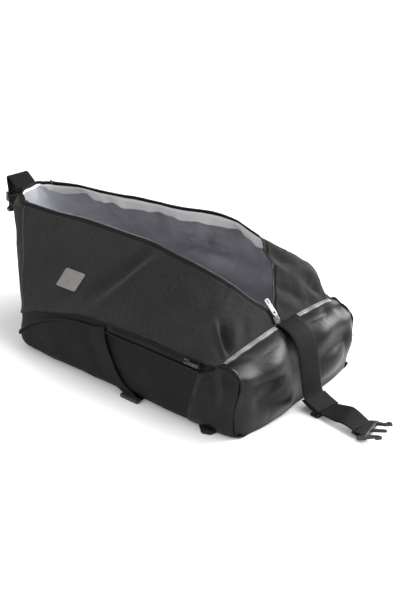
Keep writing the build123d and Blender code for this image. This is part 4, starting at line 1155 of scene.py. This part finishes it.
def slider(name, centre, forward, out, half_width, length, finish, gap=3.0, plate=1.3, bail=4.4):
    """A zip slider: two shaped plates, the nose between them, turned edges and the bail over the top."""
    place = place_at(centre, forward, out)
    half = length / 2
    tail, waist = half_width * 0.72, half_width * 0.80
    shape = rounded(mirrored([(-half, -tail, 1.2), (half * 0.1, -waist, 2), (half, -half_width, 2.4)]))
    parts = [moulding("top", [shape], gap / 2, gap / 2 + plate, 0.4, place, finish),
             moulding("bottom", [shape], -gap / 2 - plate, -gap / 2, 0.4, place, finish)]
    nose = rounded([(half - 3.4, 0, 0.4), (half - 0.6, -1.2, 0.6), (half - 0.6, 1.2, 0.6)])
    parts.append(moulding("nose", [nose], -gap / 2, gap / 2, 0.2, place, finish))
    for flank in (-1, 1):
        for low, high in ((gap / 2 - 0.7, gap / 2 + 0.2), (-gap / 2 - 0.2, -gap / 2 + 0.7)):
            wing = box_outline(-half + 0.8, half - 2.2, flank * waist - 0.6, flank * waist + 0.4, 0.3)
            parts.append(moulding("wing", [wing], low, high, 0.15, place, finish))
    top = gap / 2 + plate - 0.2
    arch = [(half * 0.78, top - 0.6), (half * 0.80, top + bail * 0.55), (half * 0.35, top + bail * 0.95)]
    arch = [(-x, z) for x, z in arch] + arch[::-1]
    line = along([tuple(place @ Vector((x, 0, z))) for x, z in arch], 26)
    parts.append(tube("bail", line, 0.75, finish, 10, tuple(place.to_3x3() @ Vector(Y_WAY)), squash=1.5))
    return join(name, parts)


def puller(name, pivot, forward, out, length, half_width, thickness, finish):
    """A flat pull tab: the eye that hangs in the bail, a neck, a round hole and a slot at its foot."""
    place = place_at(pivot, forward, out)
    end = length - 1.0
    neck, foot = half_width * 0.62, half_width * 0.94
    tab = rounded(mirrored([(-1.4, -neck, 1.4), (6.0, -neck, 1.2), (9, -half_width, 2.0),
                            (end, -foot, 2.2)]))
    eye = box_outline(0.7, 5.4, -half_width * 0.38, half_width * 0.38, 1.0)
    turn = np.linspace(0, 2 * math.pi, 20, endpoint=False)
    hole = [(10.6 + half_width * 0.36 * math.cos(a), half_width * 0.36 * math.sin(a)) for a in turn]
    slot = box_outline(end - length * 0.22, end - 2.0, -half_width * 0.16, half_width * 0.16, 0.6)
    return moulding(name, [tab, eye, hole, slot], -thickness / 2, thickness / 2, 0.3, place, finish)


def make_main_slider():
    centre = PULLER_PIVOT - ZIP_OUT * PIVOT_HEIGHT
    body = slider("main_slider_body", centre, ZIP_UP, ZIP_OUT, 6.0, 10.5, METAL)
    attach(body, "main_slider", "main_slider")
    forward = ZIP_UP * math.cos(PULLER_LEAN) - ZIP_OUT * math.sin(PULLER_LEAN)
    out = ZIP_OUT * math.cos(PULLER_LEAN) + ZIP_UP * math.sin(PULLER_LEAN)
    tab = puller("main_puller_tab", PULLER_PIVOT, forward, out, PULLER_LENGTH, PULLER_HALF_WIDTH,
                 PULLER_THICKNESS, METAL)
    attach(tab, "main_puller", "main_puller")


def make_zip_stops():
    place = place_at(ZIP_FOOT, ZIP_UP, ZIP_OUT)
    stop = moulding("zip_foot_stop", [box_outline(-0.6, 1.4, -4.8, 4.8, 0.8)], -1.7, 1.7, 0.5, place, METAL)
    attach(stop, "zip_bottom_stop")
    levels = np.array((0.0, 1.0))
    ends = pinch(wall(float(CORNER), float(LAST - CORNER), 2, ZIP_EDGE - 0.1, ZIP_EDGE, levels))[:, 1]
    outline = box_outline(-1.2, 1.2, -1.7, 1.7, 0.6)
    stops = []
    for end in ends:
        spot = place_at(end + np.array((1.6, 0, -0.4)), X_WAY, UP)
        stops.append(moulding("stop", [outline], -1.7, 1.7, 0.5, spot, DARK_METAL))
    attach(join("zip_head_stops", stops), "zip_top_stops")


# ---------------------------------------------------------------- pocket zips
CHAIN_X = (2.0, 166.0)
CHAIN_Y = 145.4
CHAIN_Z = 100.0
BACKING_Y = 144.2       # of the tape behind the chain
BACKING_HALF = 6.5
POCKET_PIVOT_HEIGHT = 3.8
POCKET_PIVOT_AHEAD = 0.8


def make_pocket_zips():
    for word, flank in SIDES:
        parts = []
        for row in (-1.0, 1.0):
            line = np.array([(x, flank * CHAIN_Y, CHAIN_Z + row) for x in np.linspace(*CHAIN_X, 120)])
            parts.append(coil("coil", line, POCKET_COIL_R, POCKET_COIL_WIRE))
        tape = np.zeros((80, 12, 3))
        tape[..., 0] = np.linspace(CHAIN_X[0] - 6, CHAIN_X[1] + 6, 80)[:, None]
        tape[..., 1] = flank * BACKING_Y
        tape[..., 2] = np.linspace(-BACKING_HALF, BACKING_HALF, 12)[None] + CHAIN_Z
        backing = shell("tape", tape if word == "near" else tape[::-1], 0.8, ZIP_TAPE)
        attach(join(f"{word}_pocket_zip", parts + [backing]), f"{word}_pocket_coil")
        hinge = joint_place(f"{word}_pocket_puller_hinge")
        out = np.array((0, flank, 0))
        centre = hinge + np.array((POCKET_PIVOT_AHEAD, 0, 0)) - out * POCKET_PIVOT_HEIGHT
        body = slider(f"{word}_pocket_slider_body", centre, (-1, 0, 0), out, 4.9, 9.6, DARK_METAL,
                      gap=2.6, plate=1.1, bail=3.4)
        attach(body, f"{word}_pocket_slider", f"{word}_pocket_slider")
        tab = puller(f"{word}_pocket_puller_tab", hinge, X_WAY, out, 23.5, 2.9, 1.1, DARK_METAL)
        attach(tab, f"{word}_pocket_puller", f"{word}_pocket_puller")


# ---------------------------------------------------------------- coated base and its corners
BASE_SECTIONS = [
    (0, [(198.2, 115), (221, 107), (236, 88), (242, 60), (244, 25), (240, 0.6)]),
    (50, [(198.2, 113), (223, 105), (241, 87), (248, 60), (249, 25), (243, 0.6)]),
    (100, [(198.2, 109.5), (222, 105), (240, 89), (246, 62), (245, 26), (240, 0.6)]),
    (126, [(198.2, 106), (219, 106.5), (237, 95), (242, 68), (237, 34), (234, 0.6)]),
    (137, [(198.5, 103), (215, 106.5), (234, 98), (236, 77), (228, 46), (228.5, 1.2)]),
]
BASE = 2.6
BASE_FOLDS = [
    # the valley that the strap hangs in front of, and the soft bulges each side of it
    ([(224, -6, 106), (238, -4, 88), (244, 0, 56), (245, 6, 20)], 22, -5.0),
    ([(226, -62, 104), (243, -60, 86), (247, -62, 66)], 28, 4.2),
    ([(246, -34, 54), (248, -60, 52), (246, -92, 54), (241, -116, 58)], 15, -5.2),
    ([(247, -20, 30), (249, -50, 28), (247, -84, 30)], 20, 4.6),
    ([(222, 64, 104), (241, 62, 86), (246, 66, 76)], 26, 4.0),
    ([(245, 36, 60), (247, 64, 64), (245, 96, 68), (238, 122, 74)], 12, -5.6),
    ([(247, 40, 42), (249, 70, 42), (246, 104, 46)], 20, 5.0),
    ([(246, 30, 14), (247, 70, 10), (243, 110, 12)], 14, -2.2),
    ([(206, -118, 104), (214, -100, 103), (220, -84, 104)], 8, -1.8),
    ([(206, 110, 105), (214, 94, 104), (222, 80, 104)], 8, -1.8),
]


def far_filled(points):
    """The far corner of the base, rounder below and lower on top than the near one."""
    points = points.copy()
    x, y, z = points[..., 0].copy(), points[..., 1], points[..., 2].copy()
    points[..., 0] += 7.0 * ease(y, 100, 137) * bump_at(z, 44, 27) * ease(x, 206, 224)
    points[..., 1] -= 4.0 * ease(y, 132, 139) * ease(x, 206, 224)
    lower = 8.5 * ease(y, 100, 132) + 4.0 * ease(y, 136, 139)
    points[..., 2] -= lower * ease(z, 74, 104) * ease(x, 198, 216)
    return points


def base_grid(half, count, levels, depth=0.0):
    """Outside of the base face from the fabric seam down to the floor, across the width."""
    sections = [(-y, profile) for y, profile in BASE_SECTIONS[:0:-1]] + BASE_SECTIONS
    across = np.linspace(-half, half, count)
    profiles = []
    for y, profile in sections:
        points = np.array([(x, y, z) for x, z in profile], float)
        t = lengths(points)
        profiles.append(cubic(t, points, levels * t[-1]))
    grid = cubic(np.array([float(y) for y, _ in sections]), np.array(profiles), across)
    lift = fold_height(grid, BASE_FOLDS) + cloudy(grid, 66, 2, 4.4) * 0.8 + cloudy(grid, 20, 2, 8.8) * 0.1
    held = np.minimum(ease(levels, 0.0, 0.12), 1 - ease(levels, 0.9, 1.0) * 0.8)[None]
    return raised(far_filled(grid), lift * held - depth)


def make_base():
    levels = band_levels(90)
    attach(shell("base_coated_face", base_grid(136.5, 240, levels), BASE, COATED), "base_panel")
    board = base_grid(118, 90, band_levels(40), 4.4)
    attach(shell("base_board", board, 2.0, BOARD), "base_stiffener")
    inner = base_grid(136, 110, band_levels(40) * 0.97 - 0.05, 8.4)
    attach(shell("base_inner_lining", inner, LINING, LINING_CLOTH), "base_lining")


CORNER_COLUMNS = [
    [(CORNER_SEAM_X + CORNER_SLANT * z, y, z)
     for y, z in ((143, 3), (149, 12), (150, 45), (147, 70), (142.6, 90.5))],
    [(166 + 0.12 * z, y, z) for y, z in ((143, 3), (148, 12), (149.4, 45), (146.6, 70), (142.6, 91.5))],
    [(184 + 0.06 * z, y, z) for y, z in ((143, 3), (147, 12), (148.6, 45), (145.6, 72), (140.6, 98))],
    [(198, y, z) for y, z in ((142, 3), (147, 12), (148.4, 45), (144.6, 78), (138, 104))],
    [(215, y, z) for y, z in ((141, 3), (145, 11), (146.6, 45), (144, 80), (138.6, 108))],
    [(225, 138.5, 3), (224, 142.5, 11), (223.5, 143.5, 45), (228, 142.4, 76), (228, 138.6, 105)],
    [(229, 136.5, 3), (228.3, 139.5, 11), (228, 140, 45), (235.5, 140, 76), (236.5, 138, 97)]]
CORNER_FOLDS = [
    ([(188, 141, 96), (200, 146, 78), (204, 149, 52)], 10, -2.4),
    ([(206, 140, 98), (214, 145, 76), (214, 148, 50)], 9, 2.4),
    ([(168, 148, 50), (176, 149, 24)], 14, 1.6),
]


def corner_grid(flank, levels, count):
    columns = []
    for points in CORNER_COLUMNS:
        points = np.array([(x, flank * y, z) for x, y, z in points], float)
        t = lengths(points)
        columns.append(cubic(t, points, levels * t[-1]))
    at = np.array([points[2][0] for points in CORNER_COLUMNS], float)
    grid = far_filled(cubic(at, np.array(columns), np.linspace(at[0], at[-1], count)))
    return grid, fold_height(grid, on_flank(flank, CORNER_FOLDS)) + cloudy(grid, 44, 3, 1.7) * 0.9


def make_corners():
    for word, flank in SIDES:
        grid, lift = corner_grid(flank, band_levels(44), 110)
        if flank < 0:
            grid, lift = grid[::-1], lift[::-1]
        panel = shell(f"{word}_corner_coated", raised(grid, lift + 1.5), 2.4, COATED_SIDE)
        attach(panel, f"{word}_corner_panel")
        attach(shell(f"{word}_corner_lining", raised(grid, lift - 6.5), LINING, LINING_CLOTH))
        edge = grid[-1] if flank < 0 else grid[0]
        rows = []
        for reach in (2.2, 6.0):
            seam = edge[2:-2] + np.array((reach, flank * 1.9, 0))
            rows.append(stitches("row", seam, Y_WAY))
        attach(join(f"{word}_side_seam_stitches", rows))


PIPING_ROUTE = [(198, 137, 106), (210, 137.3, 109.5), (224, 137.3, 108), (236, 137.3, 98),
                (238.5, 137.5, 86), (234, 138, 68), (228.5, 138.3, 48), (228, 138, 24), (229.5, 136.5, 4)]
PIPING_R, FAR_PIPING_R, ARC_PIPING_R = 1.9, 1.2, 2.0


def make_piping():
    for word, flank in SIDES:
        line = along([(x, flank * y, z) for x, y, z in PIPING_ROUTE], 70)
        line = far_filled(line) + np.array((0, flank, 0)) * 0.6 * np.sin(np.linspace(0, 9, 70))[:, None]
        radius = PIPING_R if flank < 0 else FAR_PIPING_R
        line[:, 2] -= (PIPING_R - radius) * 4 * ease(line[:, 2], 70, 95)
        cord = tube(f"{word}_base_piping_cord", line, radius, PIPING, 12, Y_WAY, uv_width=14)
        attach(cord, f"{word}_base_piping")
        levels = np.linspace(0, 1, 3)
        arc = shaped(*ends_of(word, near(172), CORNER), 260, SEAM - 0.15, SEAM + 0.15, levels, folds=False)
        line = arc[:, 1] + outward(arc)[:, 1] * 1.5
        cord = tube(f"{word}_arc_piping_cord", line, ARC_PIPING_R, PIPING, 12, UP, uv_width=12)
        attach(cord, f"{word}_arc_piping")


STRIP_RUNS = ((-128, -10), (42, 126))
STRIP_WIDTH = 8.5
BASE_DEPTH = 175        # down the base face, from the fabric's seam to the floor


def make_reflective_strip():
    parts = []
    sewn = []
    whole = base_grid(136.5, 240, np.linspace(0.0, STRIP_WIDTH / BASE_DEPTH, 9), -1.1)
    across = whole[:, 0, 1]
    for start, end in STRIP_RUNS:
        grid = whole[(across > start) & (across < end)]
        way = np.broadcast_to(lengths(grid[:, 4])[:, None], grid.shape[:2])
        pucker = 0.55 * np.sin(way / 5.5 + 2 * np.sin(way / 31)) * np.linspace(0.2, 1, 9)[None]
        grid = raised(grid, pucker)
        parts.append(shell("run", grid, 0.7, REFLECTIVE))
        sewn.append(stitches("row", grid[1:-1, -1] + np.array((1.6, 0, -0.7)), UP, pitch=3.0))
    attach(join("reflective_tape", parts), "reflective_strip")
    attach(join("base_seam_stitches", sewn))


# ---------------------------------------------------------------- underside
def make_underside():
    """Back panel that the bag lies on, turned up at its long edges, with a sewn grid of shallow channels."""
    x_values = np.linspace(-198, 236, 150)
    half = np.interp(x_values, [-204, -196, -178, -150, 172, 215, 236],
                     [104, 124, 138, 141.5, 142.5, 140.5, 134])
    share = np.linspace(-1, 1, 120)
    grid = np.zeros((len(x_values), len(share), 3))
    grid[..., 0] = x_values[:, None]
    grid[..., 1] = half[:, None] * share[None]
    grid[..., 2] = 0.15 + 3.2 * ease(np.abs(share), 0.93, 1.0)[None]
    channel = np.minimum(np.abs((grid[..., 0] % 60) - 30), np.abs((grid[..., 1] % 56) - 28))
    grid[..., 2] += 0.7 * np.exp(-(channel / 3.0) ** 2)
    attach(shell("back_panel_cloth", grid, CLOTH, NYLON), "back_panel")


def make_back_pad():
    """Foam pad inside the back, crowned, with pressed channels."""
    share, way = np.linspace(-1, 1, 70), np.linspace(-1, 1, 110)
    grid = np.zeros((len(way), len(share), 3))
    grid[..., 0] = np.linspace(-174, 182, len(way))[:, None]
    grid[..., 1] = -116 * share[None]
    edge = np.minimum(1 - np.abs(share)[None], 1 - np.abs(way)[:, None])
    grid[..., 2] = 4.6 + 2.6 * ease(edge, 0, 0.08)
    channel = np.abs((grid[..., 0] % 60) - 30)
    grid[..., 2] -= 0.9 * np.exp(-(channel / 4.0) ** 2)
    pad = attach(shell("back_pad_foam", grid, 1.6, FOAM), "back_pad")


# ---------------------------------------------------------------- label patch
PATCH_CENTRE = (-108.1, -113.0, 131.8)
PATCH_CORNERS = [(-26.5, -16.2, 4), (17, -14.8, 4), (26.5, 16.2, 4), (-17.5, 14.8, 4)]
WALL_ALONG, WALL_UP = np.array((1, -0.10, 0.05)), np.array((0, 0.535, 0.845))


def make_patch():
    along_x = unit(WALL_ALONG)
    place = place_at(PATCH_CENTRE, along_x, unit(np.cross(along_x, WALL_UP)))
    body = moulding("label_patch_body", [rounded(PATCH_CORNERS, 8)], -0.6, 1.4, 0.5, place, PATCH)
    attach(body, "label_patch")


# ---------------------------------------------------------------- bow loop and its buckle
LOOP_OUT = unit(np.array((-0.98, 0.197, 0)))
LOOP_SIDE = joint_axis("female_buckle_hinge")
LOOP_BAR = joint_place("female_buckle_hinge")
LOOP_ROOT = np.array((-306.0, -4.0, 0))
LOOP_WRAP_R = 3.3
# The loop's route from its seam to the buckle's bar, as (distance out from the root, height).
LOOP_ROUTE = [(1, 175), (8.5, 187.5), (14.5, 196.5), (24, 202), (35, 206.8), (38.6, 206.6), (39.4, 203.2),
              (38.6, 193), (37.3, 184)]


def out_and_up(start, out, up):
    return start + LOOP_OUT * out + np.array((0, 0, up))


def make_top_loop():
    route = [out_and_up(LOOP_ROOT, out, up) for out, up in LOOP_ROUTE]
    wrap = [out_and_up(LOOP_BAR, math.cos(a) * LOOP_WRAP_R, math.sin(a) * LOOP_WRAP_R)
            for a in np.linspace(0, math.radians(-190), 6)]
    tail = [out_and_up(LOOP_BAR, -1.0, 8), out_and_up(LOOP_BAR, 1.0, 18)]
    line = along(route + wrap + tail, 150)
    attach(ribbon("top_loop_webbing", line, LOOP_SIDE, STRAP_WIDTH, THIN_WEBBING, WEBBING), "top_loop")


def make_female_buckle():
    """Side-release socket: two faces with thumb windows between posts, and its bar."""
    place = place_at(LOOP_BAR, (0, 0, -1), LOOP_OUT)
    outline = rounded(mirrored([(5.2, -23, 3), (13, -24, 2.5), (15, -19, 2.5), (24, -19, 2.5),
                                (26, -24, 2.5), (31, -22.5, 3)]))
    inset = box_outline(10, 27, -13, 13, 4)
    parts = [moulding("face", [outline], 2.8, 5.0, 0.7, place, BUCKLE),
             moulding("back", [outline], -5.0, -2.8, 0.7, place, BUCKLE),
             moulding("boss", [inset], 4.6, 5.6, 0.4, place, BUCKLE),
             moulding("head", [box_outline(5.2, 9.4, -22.5, 22.5, 1.2)], -4.4, 4.4, 0.8, place, BUCKLE)]
    for flank in (-1, 1):
        for start, end in ((5.4, 13.0), (26.0, 30.8)):
            post = box_outline(start, end, flank * 22.4 - 1.3, flank * 22.4 + 1.3, 0.8)
            parts.append(moulding("post", [post], -4.2, 4.2, 0.4, place, BUCKLE))
        ear = rounded([(-3.2, flank * 20.2, 1.6), (7, flank * 20.2, 0), (7, flank * 23.8, 0),
                       (-3.2, flank * 23.8, 1.6)])
        parts.append(moulding("ear", [ear], -3.2, 3.2, 0.6, place, BUCKLE))
    parts.append(bar(LOOP_BAR, LOOP_SIDE, 21))
    attach(join("female_buckle_moulding", parts), "female_buckle", "female_buckle")


# ---------------------------------------------------------------- side straps and anchors
SIDE_STRAP_ROUTE = [(-26, 143.6, 93), (-21, 148.5, 80), (-5, 152.8, 52), (17, 153.9, 22), (33, 151.5, 11),
                    (43, 151.6, 6.2), (46, 151.9, 3.0), (46, 148.5, 1.2), (46, 138, 1.1)]
SIDE_STRAP_WIDTH = 30
TAB_CORNERS = [(164, 139.5, 1), (200, 139.5, 1), (197, 152.5, 3), (184, 157, 4)]


def make_side_strap(word, flank):
    line = along([(x, flank * y, z) for x, y, z in SIDE_STRAP_ROUTE], 90)
    across = np.array((1.0, 0, 0)) + np.outer(ease(line[:, 2], 2, 40), (0, 0, 0.25))
    strap = ribbon(f"{word}_side_webbing", line, flank * across, SIDE_STRAP_WIDTH, THIN_WEBBING,
                   SIDE_WEBBING, skew=True)
    attach(strap, f"{word}_side_strap")
    side = line_frames(line, (1, 0, 0.25))[1]
    lift = np.array((0, flank * 1.15, 0))
    rows = []
    for start, end in ((3, 14), (5, 16)):
        ends = line[start] - side[start] * 12 + lift, line[end] + side[end] * 12 + lift
        rows.append(stitches("row", np.linspace(*ends, 12), Y_WAY, DARK_THREAD))
    attach(join(f"{word}_side_webbing_stitches", rows))


def make_ladder_lock(word, flank):
    place = place_at((46, flank * 153.6, 0.2), X_WAY, UP)
    outlines = [box_outline(-17, 17, -4.4, 4.4, 1.8), box_outline(-15, 15, -3.0, -1.0, 0.6),
                box_outline(-15, 15, 0.8, 2.8, 0.6)]
    body = moulding(f"{word}_ladder_lock_body", outlines, 0.1, 5.4, 0.7, place, BUCKLE)
    attach(body, f"{word}_ladder_lock")


def make_corner_tab(word, flank):
    place = Matrix.Identity(4)
    corners = [(x, flank * y, radius) for x, y, radius in TAB_CORNERS][::flank]
    tab = moulding(f"{word}_corner_tab_webbing", [rounded(corners)], 0.3, 2.1, 0.5, place, PLAIN_WEBBING)
    attach(tab, f"{word}_corner_tab")


make_lining()
make_lining_floor()
make_facing()
make_main_zip()
make_bow_binding()
make_main_slider()
make_zip_stops()
make_pocket_zips()
make_base()
make_corners()
make_piping()
make_reflective_strip()
make_underside()
make_back_pad()
make_patch()
make_top_loop()
make_female_buckle()
for word, flank in SIDES:
    make_side_strap(word, flank)
    make_ladder_lock(word, flank)
    make_corner_tab(word, flank)
